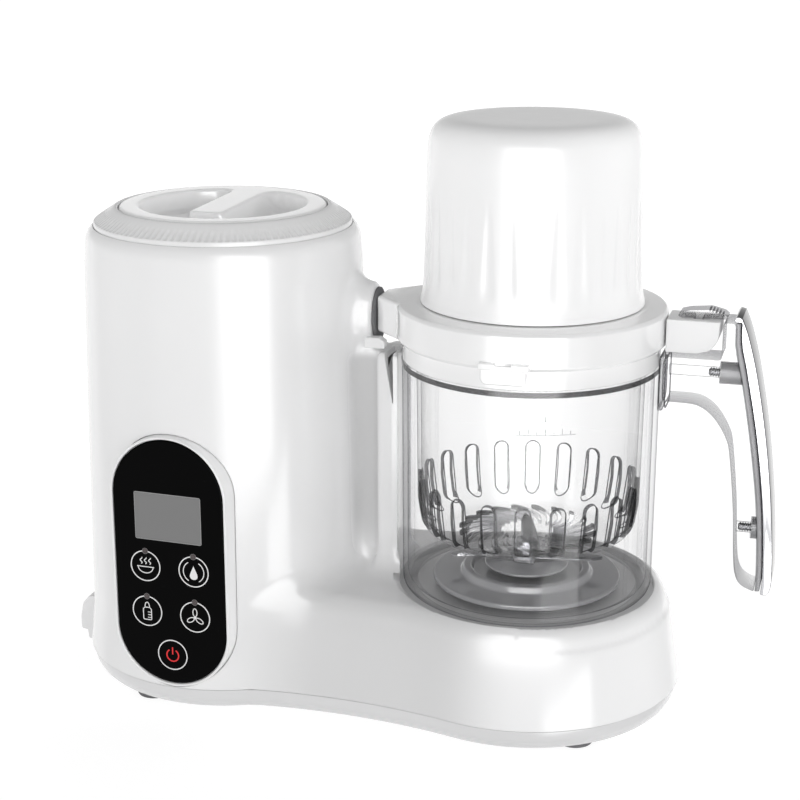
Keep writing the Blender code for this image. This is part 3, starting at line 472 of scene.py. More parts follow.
def refine(profile, closed, longest=6.0, hold=0.5):
    """Split long runs, with a point held close to each end, to keep smooth shading true."""
    out = []
    count = len(profile)
    for i in range(count if closed else count - 1):
        a, b = np.array(profile[i], float), np.array(profile[(i + 1) % count], float)
        length = np.linalg.norm(b - a)
        if length < 3 * hold:
            out.append(tuple(a))
            continue
        parts = max(1, int(np.ceil((length - 2 * hold) / longest)))
        inside = length - 2 * hold
        steps = [0.0] + [(hold + inside * j / parts) / length for j in range(parts + 1)]
        out += [tuple(a + (b - a) * t) for t in steps]
    if not closed:
        out.append(tuple(profile[-1]))
    return out


def curve(points, step):
    """Catmull-Rom line through the points."""
    p = [np.array(a, float) for a in points]
    out = []
    for i in range(len(p) - 1):
        p0, p1, p2, p3 = p[max(i - 1, 0)], p[i], p[i + 1], p[min(i + 2, len(p) - 1)]
        parts = max(1, int(np.ceil(np.linalg.norm(p2 - p1) / step)))
        for j in range(parts):
            t = j / parts
            out.append(tuple(0.5 * ((2 * p1) + (-p0 + p2) * t
                                    + (2 * p0 - 5 * p1 + 4 * p2 - p3) * t * t
                                    + (-p0 + 3 * p1 - 3 * p2 + p3) * t ** 3)))
    out.append(tuple(p[-1]))
    return out


def ring_angles(count):
    return 2 * math.pi * np.arange(count) / count


def stand(verts, x, side, axis):
    """Move turned points to their axis: upright at (x, side), or along +X at height side."""
    if axis == "X":
        return verts[:, [2, 0, 1]] + np.array([x, 0, side])
    return verts + np.array([x, side, 0])


def lathe(name, profile, material, body, sides, x=JAR_X, side=0.0, shape=None, closed=True,
          sharp=40.0, slot=None, cad=None, axis="Z"):
    """Turn an (r, z) profile. If not closed, it starts and ends on the axis.
    shape(r, z, angles) may move the radius."""
    profile = refine(profile, closed)
    poles = [] if closed else [profile.pop(0), profile.pop()]
    angles = ring_angles(sides)
    rings = []
    for r, z in profile:
        radius = np.full(sides, r) if shape is None else shape(r, z, angles)
        rings.append(np.stack([radius * np.cos(angles), radius * np.sin(angles),
                               np.full(sides, z)], 1))
    verts = np.concatenate(rings + [np.array([[0, 0, z]]) for _, z in poles])
    faces = grid_faces(len(profile), sides, closed)
    if poles:
        pole, last = len(profile) * sides, (len(profile) - 1) * sides
        faces += [(pole, (j + 1) % sides, j) for j in range(sides)]
        faces += [(pole + 1, last + j, last + (j + 1) % sides) for j in range(sides)]
    obj = make(name, stand(verts, x, side, axis), faces, material, body, sharp=sharp, slot=slot)
    return settle(obj, sharp, cad)


def loft(name, rings, material, body, loop=False, sharp=40.0, slot=None, cad=None):
    return settle(make(name, *skin(rings, loop), material, body, sharp=sharp, slot=slot),
                  sharp, cad)


def cutter(verts, faces):
    return faces_out(make("temp_cutter", verts, faces, None, None, smooth=False))


def cut_loft(rings):
    return cutter(*skin(rings))


def cut_lathe(profile, sides, x=JAR_X, side=0.0, axis="Z"):
    angles = ring_angles(sides)
    verts, faces = skin([np.stack([r * np.cos(angles), r * np.sin(angles),
                                   np.full(sides, z)], 1) for r, z in profile])
    return cutter(stand(verts, x, side, axis), faces)


def drill(radius, z0, z1, sides, x=JAR_X, y=0.0):
    return cut_lathe([(radius, z0), (radius, z1)], sides, x, y)


def circle_x(x, radius, z, count=32):
    """Ring facing along X, centred on y = 0."""
    return [(x, radius * math.cos(a), z + radius * math.sin(a))
            for a in np.linspace(0, 2 * math.pi, count + 1)[:-1]]


def stretch_y(outline, y0, y1, x0=0.0):
    """Rings of an (x, z) outline at two places along Y."""
    return [[(x0 + x, y, z) for x, z in outline] for y in (y0, y1)]


def stretch_z(outline, z0, z1):
    return [[(x, y, z) for x, y in outline] for z in (z0, z1)]


def from_jar(outward, sideways, angle):
    """(x, y) of a place given outwards from the jar's axis at an angle, and across that."""
    c, s = math.cos(angle), math.sin(angle)
    return JAR_X + outward * c - sideways * s, outward * s + sideways * c


def bevel(obj, width, segments, limit=None):
    modifier = obj.modifiers.new("edge", "BEVEL")
    modifier.width = width * MM
    modifier.segments = segments
    modifier.limit_method = "ANGLE"
    if limit:
        modifier.angle_limit = math.radians(limit)
    return modifier


def carve(obj, others, operation="DIFFERENCE", sharp=40.0):
    """Apply a Boolean with each other object, and any modifiers; the others are removed."""
    for other in others:
        modifier = obj.modifiers.new("carve", "BOOLEAN")
        modifier.operation = operation
        modifier.solver = "MANIFOLD"
        modifier.object = other
    bpy.context.view_layer.update()
    graph = bpy.context.evaluated_depsgraph_get()
    mesh = bpy.data.meshes.new_from_object(obj.evaluated_get(graph))
    obj.modifiers.clear()
    old = obj.data
    materials = list(old.materials)
    obj.data = mesh
    bpy.data.meshes.remove(old)
    mesh.materials.clear()
    for material in materials:
        mesh.materials.append(material)
    if len(mesh.polygons):
        mesh.polygons.foreach_set("material_index", np.zeros(len(mesh.polygons), np.int32))
    for other in others:
        bpy.data.objects.remove(other, do_unlink=True)
    mesh.shade_smooth()
    sharpen(mesh, sharp)
    return obj


def bevelled_prism(outline, z0, z1, width, segments, limit=None):
    count = len(outline)
    faces = [tuple(range(count))[::-1], tuple(range(count, 2 * count))]
    faces += [(i, (i + 1) % count, count + (i + 1) % count, count + i) for i in range(count)]
    obj = cutter([(x, y, z) for z in (z0, z1) for x, y in outline], faces)
    bevel(obj, width, segments, limit)
    return carve(obj, [])


def block(x0, x1, y0, y1, z0, z1, width, segments):
    corners = ((x0, y0), (x1, y0), (x1, y1), (x0, y1))
    return bevelled_prism(corners, z0, z1, width, segments)


def slab(name, line, half, material, width, segments):
    """An (r, z) outline from the jar's axis, spread to +-half along Y, with rounded edges."""
    obj = loft(name, stretch_y(line, -half, half, JAR_X), material, None, sharp=50.0)
    if width:
        bevel(obj, width, segments, 60).miter_outer = "MITER_ARC"
        carve(obj, [], sharp=50.0)
    return obj


def adopt(obj, name, material):
    """Turn a finished cutter into a named piece."""
    obj.name = name
    obj.data.name = name
    obj.data.materials.append(material)
    return obj


# ===================================================================== distance fields
def smin(a, b, k):
    h = np.clip(0.5 + 0.5 * (b - a) / k, 0, 1)
    return b * (1 - h) + a * h - k * h * (1 - h)


def smax(a, b, k):
    return -smin(-a, -b, k)


def round_meet(a, b):
    """Distance to where two fields overlap, rounded outside the corner."""
    return np.minimum(np.maximum(a, b), 0) + np.hypot(np.maximum(a, 0), np.maximum(b, 0))


def net(field, low, high, cell, newton):
    """Surface net of field < 0, with its points pulled onto the surface."""
    low, high = np.array(low, float), np.array(high, float)
    n = np.ceil((high - low) / cell).astype(int) + 1
    ax = [low[i] + cell * np.arange(n[i]) for i in range(3)]
    grid = np.empty(n, np.float32)
    Y, Z = np.meshgrid(ax[1], ax[2], indexing="ij")
    for i in range(n[0]):
        layer = np.stack([np.full(Y.size, ax[0][i]), Y.ravel(), Z.ravel()], 1)
        grid[i] = field(layer).reshape(Y.shape)
    solid = grid < 0
    corners = [np.array((a, b, c)) for a in (0, 1) for b in (0, 1) for c in (0, 1)]
    filled = sum(solid[a:n[0] - 1 + a, b:n[1] - 1 + b, c:n[2] - 1 + c].astype(np.int8)
                 for a, b, c in corners)
    active = (filled > 0) & (filled < 8)
    index = np.full(active.shape, -1, np.int64)
    cells = np.argwhere(active)
    index[active] = np.arange(len(cells))
    total, crossings = np.zeros((len(cells), 3)), np.zeros(len(cells))
    for a in corners:
        for b in corners:
            if (b - a).sum() == 1 and (b >= a).all():
                da, db = grid[tuple((cells + a).T)], grid[tuple((cells + b).T)]
                m = (da < 0) != (db < 0)
                t = (da[m] / (da[m] - db[m]))[:, None]
                total[m] += a + t * (b - a)
                crossings[m] += 1
    verts = low + cell * (cells + total / crossings[:, None])
    e = 0.05 * cell
    for _ in range(newton):
        d0 = field(verts)
        slope = np.stack([(field(verts + e * u) - field(verts - e * u)) / (2 * e)
                          for u in np.eye(3)], 1)
        step = (d0 / np.maximum((slope * slope).sum(1), 0.05))[:, None] * slope
        length = np.linalg.norm(step, axis=1, keepdims=True)
        verts = verts - step * np.minimum(1, 0.5 * cell / np.maximum(length, 1e-9))
    quads = []
    for axis in range(3):
        u, w = (axis + 1) % 3, (axis + 2) % 3
        before, after = [slice(None)] * 3, [slice(None)] * 3
        before[axis], after[axis] = slice(0, -1), slice(1, None)
        edge = np.argwhere(solid[tuple(before)] != solid[tuple(after)])
        edge = edge[(edge[:, u] > 0) & (edge[:, w] > 0)
                    & (edge[:, u] < n[u] - 1) & (edge[:, w] < n[w] - 1)]
        du, dw = np.eye(3, dtype=int)[u], np.eye(3, dtype=int)[w]
        quad = np.stack([index[tuple(e3.T)]
                         for e3 in (edge - du - dw, edge - dw, edge, edge - du)], 1)
        inside = solid[tuple(edge.T)]
        quad[~inside] = quad[~inside][:, ::-1]
        quads.append(quad)
    return verts, np.concatenate(quads)


def closed_net(field, low, high, cell, newton=3):
    """The net on the first grid offset where each edge has two faces, as a Boolean needs."""
    for shift in (0.0, 0.13, 0.29, 0.41, 0.57, 0.71, 0.83, 0.93):
        start = np.array(low, float) - cell * np.array([shift, 0.37 * shift, 0.61 * shift])
        verts, quads = net(field, start, high, cell, newton)
        ends = np.sort(np.concatenate([quads[:, [i, (i + 1) % 4]] for i in range(4)]), axis=1)
        times = np.unique(ends[:, 0] * len(verts) + ends[:, 1], return_counts=True)[1]
        if (times == 2).all():
            break
    return verts, quads


def sd_polygon(px, pz, polygon):
    """Signed distance to a closed 2-D polygon."""
    polygon = np.asarray(polygon, float)
    best = np.full(px.shape, 1e9)
    inside = np.zeros(px.shape, bool)
    for a, b in zip(polygon, np.roll(polygon, -1, axis=0)):
        e = b - a
        wx, wz = px - a[0], pz - a[1]
        t = np.clip((wx * e[0] + wz * e[1]) / max(e @ e, 1e-12), 0, 1)
        best = np.minimum(best, (wx - e[0] * t) ** 2 + (wz - e[1] * t) ** 2)
        crosses = ((a[1] <= pz) & (pz < b[1])) | ((b[1] <= pz) & (pz < a[1]))
        if e[1] != 0:
            inside ^= crosses & (px < a[0] + (pz - a[1]) / e[1] * e[0])
    return np.where(inside, -1, 1) * np.sqrt(best)


def rounded_box(p, low, high, r):
    centre, half = (np.array(low) + high) / 2, (np.array(high, float) - low) / 2 - r
    q = np.abs(p - centre) - half
    return np.linalg.norm(np.maximum(q, 0), axis=1) + np.minimum(q.max(1), 0) - r


# ===================================================================== plan outlines
def waist_solve(tower_r, jar_r, waist):
    """Radius and x, from the tower's axis, of the hollow arc that joins both circles."""
    low, high = 5.0, 5000.0
    for _ in range(60):
        arc_r = 0.5 * (low + high)
        arc_x = (AXIS_GAP ** 2 - (jar_r - tower_r) * (jar_r + tower_r + 2 * arc_r)) \
            / (2 * AXIS_GAP)
        if arc_x * arc_x + (waist + arc_r) ** 2 - (tower_r + arc_r) ** 2 > 0:
            low = arc_r
        else:
            high = arc_r
    return arc_r, arc_x


def waisted(tower_r, jar_r, waist, z, n=56, m=20):
    """Ring at height z: two circles joined by hollow arcs, with n and m steps."""
    arc_r, arc_x = waist_solve(tower_r, jar_r, waist)
    arc_y = waist + arc_r
    at, aj = math.atan2(arc_y, arc_x), math.atan2(arc_y, arc_x - AXIS_GAP)
    a0 = math.atan2(-math.sin(aj), -math.cos(aj))
    a1 = math.atan2(-math.sin(at), -math.cos(at))
    points = []

    def sweep(x, y, r, start, turn, steps):
        count = steps[-1] + (steps[0] > 0)
        for i in steps:
            a = start + turn * i / count
            points.append((x + r * math.cos(a), y + r * math.sin(a), z))

    sweep(JAR_X, 0, jar_r, -aj, 2 * aj, range(n + 1))
    sweep(TOWER_X + arc_x, arc_y, arc_r, a0, a1 - a0, range(1, m))
    sweep(TOWER_X, 0, tower_r, at, 2 * math.pi - 2 * at, range(n + 1))
    sweep(TOWER_X + arc_x, -arc_y, arc_r, -a1, -a0 + a1, range(1, m))
    return points


def stadium(w, h, n=24):
    """Upright slot outline: straight sides and half-round ends."""
    r, s = w / 2.0, h / 2.0 - w / 2.0
    top = [(r * math.cos(math.pi * i / n), s + r * math.sin(math.pi * i / n))
           for i in range(n + 1)]
    low = [(r * math.cos(math.pi + math.pi * i / n), -s + r * math.sin(math.pi + math.pi * i / n))
           for i in range(n + 1)]
    return top + low


# ===================================================================== housing shape
COLUMN_TOP = 163.0                       # column between the tower and the jar
LOBE_TOP, LOBE_ROUND = 58.0, 6.5         # top of the base's body and its edge radius
BOSS_END, BOSS_ROUND = 73.4, 2.0         # steam port boss, out from the tower's axis
SHELL_WALL = 2.6

# radius, height
TOWER_PROFILE = fillet(
    [(0, -12), (70.4, -12), (69.2, 14), (67.0, 36), (65.7, 124), (64.0, 200), (62.4, 218.4),
     (0, 218.4)], [0, 0, 60, 60, 400, 0, 8.5, 0], 8)
# height, tower radius, jar radius, half width at the waist
LOBE_LEVELS = np.array([
    (9.0, 66.4, 72.4, 61.0), (20, 65.6, 70.8, 59.3), (30, 65.0, 69.2, 57.6),
    (44, 64.2, 67.0, 54.8), (58, 62.8, 63.6, 50.8),
])


def smooth_column(column, step=0.1, sigma=3.0):
    """A column of LOBE_LEVELS, blurred, as (heights, values)."""
    known, value = LOBE_LEVELS[:, 0], LOBE_LEVELS[:, column]
    z = np.arange(-10, 85, step)
    v = np.interp(z, known, value)
    # keep the end slopes, so that the blur doesn't flatten them
    for outside, end, near in ((z < known[0], 0, 1), (z > known[-1], -1, -2)):
        low, high = min(end, near), max(end, near)
        rise, run = value[high] - value[low], known[high] - known[low]
        v = np.where(outside, value[end] + (z - known[end]) * rise / run, v)
    kernel = np.exp(-0.5 * (np.arange(-6 * sigma, 6 * sigma + step, step) / sigma) ** 2)
    kernel /= kernel.sum()
    padded = np.pad(v, len(kernel) // 2, mode="edge")
    return z, np.convolve(padded, kernel, mode="valid")[: len(z)]


TOWER_R, JAR_R, WAIST = (smooth_column(column) for column in (1, 2, 3))
ARC_Z = np.linspace(-10, 85, 96)
ARCS = np.array([waist_solve(*(np.interp(z, *table) for table in (TOWER_R, JAR_R, WAIST)))
                 for z in ARC_Z])


def lobe(p):
    """The base's body: the waisted outline, with a rounded top edge."""
    x, y, z = p[:, 0] - TOWER_X, np.abs(p[:, 1]), p[:, 2]
    tower_r, jar_r, waist = (np.interp(z, *table) for table in (TOWER_R, JAR_R, WAIST))
    arc_r, arc_x = np.interp(z, ARC_Z, ARCS[:, 0]), np.interp(z, ARC_Z, ARCS[:, 1])
    arc_y = waist + arc_r
    past_tower = arc_y * x - arc_x * y > 0
    before_jar = arc_y * (x - AXIS_GAP) - (arc_x - AXIS_GAP) * y < 0
    middle = past_tower & before_jar & (y < arc_y)
    to_arc = arc_r - np.hypot(x - arc_x, y - arc_y)
    to_tower, to_jar = np.hypot(x, y) - tower_r, np.hypot(x - AXIS_GAP, y) - jar_r
    beyond = np.where(x < arc_x, to_tower, to_jar)
    side = np.where(middle, to_arc, np.where(
        past_tower & ~before_jar, to_jar, np.where(~past_tower, to_tower, beyond)))
    return round_meet(side + LOBE_ROUND, (z - LOBE_TOP) + LOBE_ROUND) - LOBE_ROUND


def boss(p):
    """The tapering oval boss of the steam port."""
    x, y, z = p[:, 0] - TOWER_X, p[:, 1], p[:, 2] - PORT_Z
    t = np.clip((x - 50) / 24.5, 0, 1)
    half_w, half_h = 15.5 - 4.0 * t, 18.0 - 3.5 * t
    side = (np.hypot(y / half_w, z / half_h) - 1) * np.minimum(half_w, half_h)
    a, b = side + BOSS_ROUND, x - BOSS_END + BOSS_ROUND
    q = np.maximum(a, b)
    rounded = np.hypot(np.maximum(a, 0), np.maximum(b, 0)) - BOSS_ROUND
    return np.maximum(np.where(q > 0, rounded, q - BOSS_ROUND), 30.0 - x)


def outer(p):
    """Outside of the housing: tower, column, boss and base, blended."""
    x = TOWER_X
    tower = sd_polygon(np.hypot(p[:, 0] - x, p[:, 1]), p[:, 2], TOWER_PROFILE)
    web = rounded_box(p, (x + 40, -8.0, 30), (x + 79, 8.0, COLUMN_TOP), 2.5)
    rib = rounded_box(p, (x + 76.4, -13.0, 30), (x + 92, 13.0, COLUMN_TOP), 2.4)
    # the face of the column hollows round the jar
    rib = smax(rib, 59.8 - np.hypot(p[:, 0] - JAR_X, p[:, 1]), 1.2)
    d = smin(tower, smin(web, rib, 1.6), 5.0)
    d = smin(d, boss(p), 7.0)
    # a shallow step near the base's top, round part of the jar's side
    angle = np.degrees(np.arctan2(p[:, 1], p[:, 0] - JAR_X))
    window = np.clip((angle + 83) / 1.5, 0, 1) * np.clip((28 - angle) / 8, 0, 1)
    body = lobe(p) + 0.9 * window * np.clip((p[:, 2] - 47.6) / 1.1, 0, 1)
    # the flow from tower to base: wide above, least low down and on the tower's -X side
    sx = np.clip((p[:, 0] - x - 14) / 40, 0, 1)
    sz = np.clip((p[:, 2] - 16) / 30, 0, 1)
    blend = 0.6 + 12.5 * sx * sx * (3 - 2 * sx) * sz * sz * (3 - 2 * sz)
    return smin(d, body, blend)


def inner(p):
    """The housing's cavity, kept clear of the jar seat, its well and the port."""
    d = outer(p) + SHELL_WALL
    d = np.maximum(d, p[:, 2] - 213.4)
    from_axis = np.hypot(p[:, 0] - JAR_X, p[:, 1])
    d = np.maximum(d, np.minimum(p[:, 2] - 52.4, 64.0 - from_axis))
    d = np.maximum(d, -np.maximum(from_axis - 19.6, 37.4 - p[:, 2]))
    port = np.maximum(np.abs(p[:, 1]) - 12, np.abs(p[:, 2] - PORT_Z) - 13)
    port = np.maximum(port, 60 - (p[:, 0] - TOWER_X))
    return np.maximum(d, -port)


# touch panel frame: measured across, up and out from the tower's axis
PANEL_Z = centre_of("touch_glass").z
PANEL_TURN = math.radians(-3.0)
PANEL_OUT = np.array([math.sin(PANEL_TURN), -math.cos(PANEL_TURN), 0.0])
PANEL_ACROSS = np.array([math.cos(PANEL_TURN), math.sin(PANEL_TURN), 0.0])


def panel(across, up, out):
    return (np.array([TOWER_X, 0.0, PANEL_Z]) + across * PANEL_ACROSS
            + up * np.array([0, 0, 1.0]) + out * PANEL_OUT)


def panel_stadium(width, height, out, n=24):
    return [panel(a, u, out) for a, u in stadium(width, height, n)]


def port_oval(half_w, half_h, x):
    """Oval ring round the steam port, x from the tower's axis."""
    return [(TOWER_X + x, half_w * math.cos(2 * math.pi * i / 64),
             PORT_Z + half_h * math.sin(2 * math.pi * i / 64)) for i in range(64)]


# ===================================================================== housing
CELL = 1.6
NET_LOW, NET_HIGH = (TOWER_X - 73, -75.5, 6.0), (JAR_X + 75.5, 75.5, 222.0)
SEAT_R = 58.6                                            # recess that takes the jar's foot
SLOT_TURN, SLOT_R = math.radians(-83.0), 66.4            # small slot outside the seat
# x from the tower's axis, height: the gap behind the column's top lip
COLUMN_GAP = fillet([(80.0, 164.5), (84.2, 164.5), (84.5, 137.5), (83.6, 143.0), (82.0, 152.0)],
                    [0, 0, 0.4, 12, 12], 4)

housing = make("housing_shell", *closed_net(lambda p: np.maximum(outer(p), 8.0 - p[:, 2]),
                                            NET_LOW, NET_HIGH, CELL),
               WHITE_SHELL_PAINTED_SHADING, None, sharp=None)
faces_out(housing)
pin = centre_of("jar_switch_pin")
below_seam = ((-300, -200), (300, -200), (300, 200), (-300, 200))
carve(housing, [
    cutter(*closed_net(lambda p: np.maximum(inner(p), 7.0 - p[:, 2]),
                       NET_LOW, NET_HIGH, CELL * 1.5, newton=1)),
    drill(SEAT_R, 55.0, 75.0, 144),
    drill(17.0, 40.0, 57.0, 96),                         # well of the couplings
    drill(4.2, 30.0, 42.0, 32),
    drill(3.0, 48.0, 57.0, 32, pin.x, pin.y),
    drill(59.5, 216.1, 226.0, 144, TOWER_X),             # seat of the tank collar
    drill(50.3, 205.0, 218.0, 128, TOWER_X),
    cut_loft([port_oval(8.3, 10.3, 50), port_oval(8.3, 10.3, 80)]),
    cut_loft([panel_stadium(57.0, 119.5, 50), panel_stadium(57.0, 119.5, 78)]),
    cut_loft([circle_x(TOWER_X - 76, 5.5, 19), circle_x(TOWER_X - 50, 5.5, 19)]),
    cutter([(x, y, z) for z in (0, HOUSING_BOTTOM) for x, y in below_seam],
           [(0, 1, 2, 3), (7, 6, 5, 4), (0, 4, 5, 1), (1, 5, 6, 2), (2, 6, 7, 3), (3, 7, 4, 0)]),
    cut_loft(stretch_z([from_jar(SLOT_R + u, t, SLOT_TURN) for t, u in stadium(1.5, 7.0, 8)],
                       55.6, 62.0)),
    cut_lathe([(SEAT_R, 54.0), (SEAT_R, 56.6), (61.6, 58.6), (61.6, 60.0)], 144),
    cut_loft(stretch_y(COLUMN_GAP, -16.0, 4.0, TOWER_X)),
], sharp=48)
register(housing, "base", "housing")

# small block at the column's top, under the steam port
stop_line = fillet([(71.0, 165.2), (80.4, 165.2), (80.4, 168.4), (77.6, 170.2), (71.0, 169.8)],
                   [0, 0.6, 0.9, 0.9, 0], 4)
stop = loft("column_stop", stretch_y(stop_line, -13.2, -8.0, TOWER_X), WHITE, "base",
            slot="white_gloss")
bevel(stop, 0.5, 3)

# half width, half height, x from the tower's axis
PORT_SEAL = [(5.4, 7.4, 69.2), (7.7, 9.7, 69.2), (7.9, 9.9, 70.2), (7.9, 9.9, 73.6),
             (7.2, 9.2, 74.7), (6.2, 8.2, 74.8), (5.4, 7.4, 74.0)]
PORT_LIP = [(6.2, 8.2, 73.3), (9.2, 12.0, 73.3), (9.8, 12.6, 73.6), (9.8, 12.6, 74.7),
            (9.2, 12.0, 75.05), (6.2, 8.2, 75.05)]
loft("port_seal", [port_oval(*row) for row in PORT_SEAL], RUBBER, "base", loop=True,
     cad="steam_port_seal", slot="rubber")
loft("port_lip", [port_oval(*row) for row in PORT_LIP], RUBBER, "base", loop=True,
     slot="rubber")

# ===================================================================== base plate
# height, tower radius, jar radius, waist, depth inside the shell's lower edge
PLATE_OUTSIDE = [
    (3.0, 61.6, 61.8, 51.6, 8.4), (3.35, 63.0, 63.3, 53.0, 6.8), (4.2, 64.5, 65.4, 54.5, 5.0),
    (6.0, 66.4, 68.0, 56.5, 3.2), (8.2, 67.7, 69.9, 58.2, 2.0), (10.6, 68.7, 71.2, 59.6, 1.3),
    (13.0, 69.3, 71.9, 60.5, 0.95), (13.55, 69.3, 71.95, 60.5, 0.95),
    (13.7, 69.1, 71.7, 60.3, 1.2),
]
# height, tower radius, jar radius, waist
PLATE_INSIDE = [(5.6, 62.0, 62.6, 51.8), (6.4, 63.6, 65.0, 53.4), (13.7, 66.2, 68.8, 57.4)]
POSTS = [(x, y) for x in (TOWER_X - 44.0, JAR_X + 44.0) for y in (-34.0, 34.0)]
FEET = [(TOWER_X - 22.0, -48.0), (TOWER_X - 22.0, 48.0), (JAR_X + 32.0, -44.0),
        (JAR_X + 32.0, 44.0)]
VENT_COUNT, VENT_PITCH = 6, 8


def inset(ring, z, depth):
    """A ring moved to the shell's outline near its lower edge, drawn in by depth."""
    points = np.array(ring, float)
    points[:, 2] = 14.4
    for _ in range(6):
        d = outer(points) + depth
        gx = (outer(points + (0.2, 0, 0)) - outer(points - (0.2, 0, 0))) / 0.4
        gy = (outer(points + (0, 0.2, 0)) - outer(points - (0, 0.2, 0))) / 0.4
        k = d / np.maximum(gx * gx + gy * gy, 0.2)
        points[:, 0] -= k * gx
        points[:, 1] -= k * gy
    points[:, 2] = z
    return [tuple(p) for p in points]


def base_plate():
    rings = [waisted(*radii, z) for z, *radii in PLATE_INSIDE]
    rings += [inset(waisted(*radii, z), z, depth)
              for z, *radii, depth in reversed(PLATE_OUTSIDE)]
    plate = loft("base_tray", rings, WHITE_BASE_PAINTED_SHADE, None, sharp=50)
    cuts = []
    for i in range(VENT_COUNT):
        x = JAR_X - 24 + VENT_PITCH * i
        vent = [(x + a, b) for a, b in stadium(3.2, 36.0, 12)]
        cuts.append(cut_loft(stretch_z(vent, 0, 7.5)))
    for x, y in FEET:
        cuts.append(drill(3.3, 0.0, 8.0, 32, x, y))
    for x, y in POSTS:
        cuts.append(drill(4.2, 0.0, 4.4, 32, x, y))
        cuts.append(drill(2.0, 4.2, 9.0, 24, x, y))
    carve(plate, cuts, sharp=50)
    bevel(plate, 0.25, 2, 60)
    register(plate, "base", "base_plate")


base_plate()

FOOT = [(0, 0.25), (5.6, 0.25), (6.0, 0.0), (7.4, 0.0), (8.0, 0.2), (8.35, 0.8), (8.4, 1.6),
        (8.3, 2.5), (7.9, 2.72), (3.05, 2.72), (3.05, 7.0), (0, 7.0)]
for n, (x, y) in enumerate(FEET, 1):
    lathe(f"foot_pad_{n}", FOOT, RUBBER, "base", 48, x, y, closed=False, slot="rubber",
          cad=f"foot_{n}")

BOLT = fillet([(0, 2.2), (3.6, 2.2), (3.6, 4.1), (1.6, 4.1), (1.6, 18.0), (0, 19.5)],
              [0, 0.7, 0.2, 0, 0.3, 0], 4, closed=False)
for n, (px, py) in enumerate(POSTS, 1):
    bolt = lathe(f"base_bolt_{n}", BOLT, STEEL, None, 40, px, py, closed=False)
    cross = []
    for w, h in ((3.6, 0.8), (0.8, 3.6)):
        bar = [(px + a * w / 2, py + b * h / 2) for a, b in ((-1, -1), (1, -1), (1, 1), (-1, 1))]
        cross.append(cut_loft(stretch_z(bar, 1.5, 3.1)))
    carve(bolt, cross)
    register(bolt, "base", f"base_screw_{n}")

# cord hood: a rounded quarter block with a lip below, on the tower's -X side
# x from the tower's axis, height, corner radius
CORD_HOOD = [(-69.6, 27.4, 0.4), (-73.4, 27.0, 2.0), (-76.6, 23.0, 2.5), (-78.0, 16.0, 3.0),
             (-78.0, 9.4, 1.2), (-74.8, 9.0, 0.6), (-74.3, 4.4, 0.8), (-71.2, 4.2, 0.8),
             (-70.9, 8.8, 0.5), (-69.6, 9.0, 0.4)]
hood_line = fillet([(TOWER_X + x, z) for x, z, _ in CORD_HOOD], [r for _, _, r in CORD_HOOD], 4)
hood = loft("cord_cover", stretch_y(hood_line, -9.0, 9.0), WHITE, "base", slot="white_gloss",
            cad="cord_hood", sharp=50)
bevel(hood, 1.2, 4, 60)

# ===================================================================== tank collar, cap, plug
COLLAR = [(59.1, 216.45), (59.15, 218.4), (58.6, 219.0), (58.2, 219.35), (57.0, 220.15),
          (55.8, 220.95), (54.6, 221.75), (53.6, 222.4), (52.6, 223.0), (51.2, 223.95),
          (50.2, 224.6), (49.4, 225.0), (48.6, 225.15), (48.05, 224.9), (47.95, 224.4),
          (47.95, 218.4), (49.4, 217.6), (51.8, 216.45)]
TEETH, TOOTH_DEPTH = 120, 0.62


def tank_collar():
    """The collar, with fine radial teeth on its outer slope."""
    count = 720
    angles = ring_angles(count)
    tooth = np.clip(0.5 + 0.75 * np.cos(angles * TEETH), 0, 1)
    verts = []
    for r, z in COLLAR:
        fade = 0.0
        if z > 219.2 and r > 53.0:
            fade = min(1.0, max(0.0, (r - 53.2) / 1.3)) * min(1.0, max(0.0, (58.7 - r) / 0.5))
        verts.append(np.stack([TOWER_X + r * np.cos(angles), r * np.sin(angles),
                               z - TOOTH_DEPTH * fade * (1 - tooth)], 1))
    collar = make("tank_collar", np.concatenate(verts), grid_faces(len(COLLAR), count, True),
                  WHITE_TANK, "base", sharp=55, slot="white_gloss")
    faces_out(collar)
    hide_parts("tank_ring")


tank_collar()

CAP_R, CAP_TOP, CAP_ROUND = 47.5, 225.5, 1.9


def cap_field(p):
    """Grip disc: a rounded drum with a deep finger recess and a bar left standing in it."""
    x, y, z = p[:, 0] - TOWER_X, p[:, 1], p[:, 2]
    r = np.hypot(x, y)
    drum = round_meet(r - CAP_R + CAP_ROUND, z - CAP_TOP + CAP_ROUND) - CAP_ROUND
    drum = np.maximum(drum, 212.8 - z)
    drum = np.maximum(drum, np.minimum(r - 46.6, 217.6 - z))
    # the recess narrows downwards
    hole = smax(r - 38.3 + (CAP_TOP - z) * 0.16, 215.4 - z, 3.0)
    # the bar is square across its front end and flares into the rim at the back
    half = 8.0 + np.where(x > 0, 0.42, 0.10) * (CAP_TOP - z)
    bar = round_meet(np.abs(x - 0.6) - half + 3.0, -24.5 - y + 3.0) - 3.0
    hole = smax(hole, -bar, 2.0 + 9.0 * np.clip(y / 25.0, 0, 1))
    return smax(drum, -hole, 1.5)


cap_net = closed_net(cap_field, (TOWER_X - 50, -50, 211), (TOWER_X + 50, 50, 227.5),
                     0.75)
cap = faces_out(make("cap_grip", *cap_net, WHITE_CAP, None, sharp=None))
register(cap, "tank_cap_body", "tank_cap")

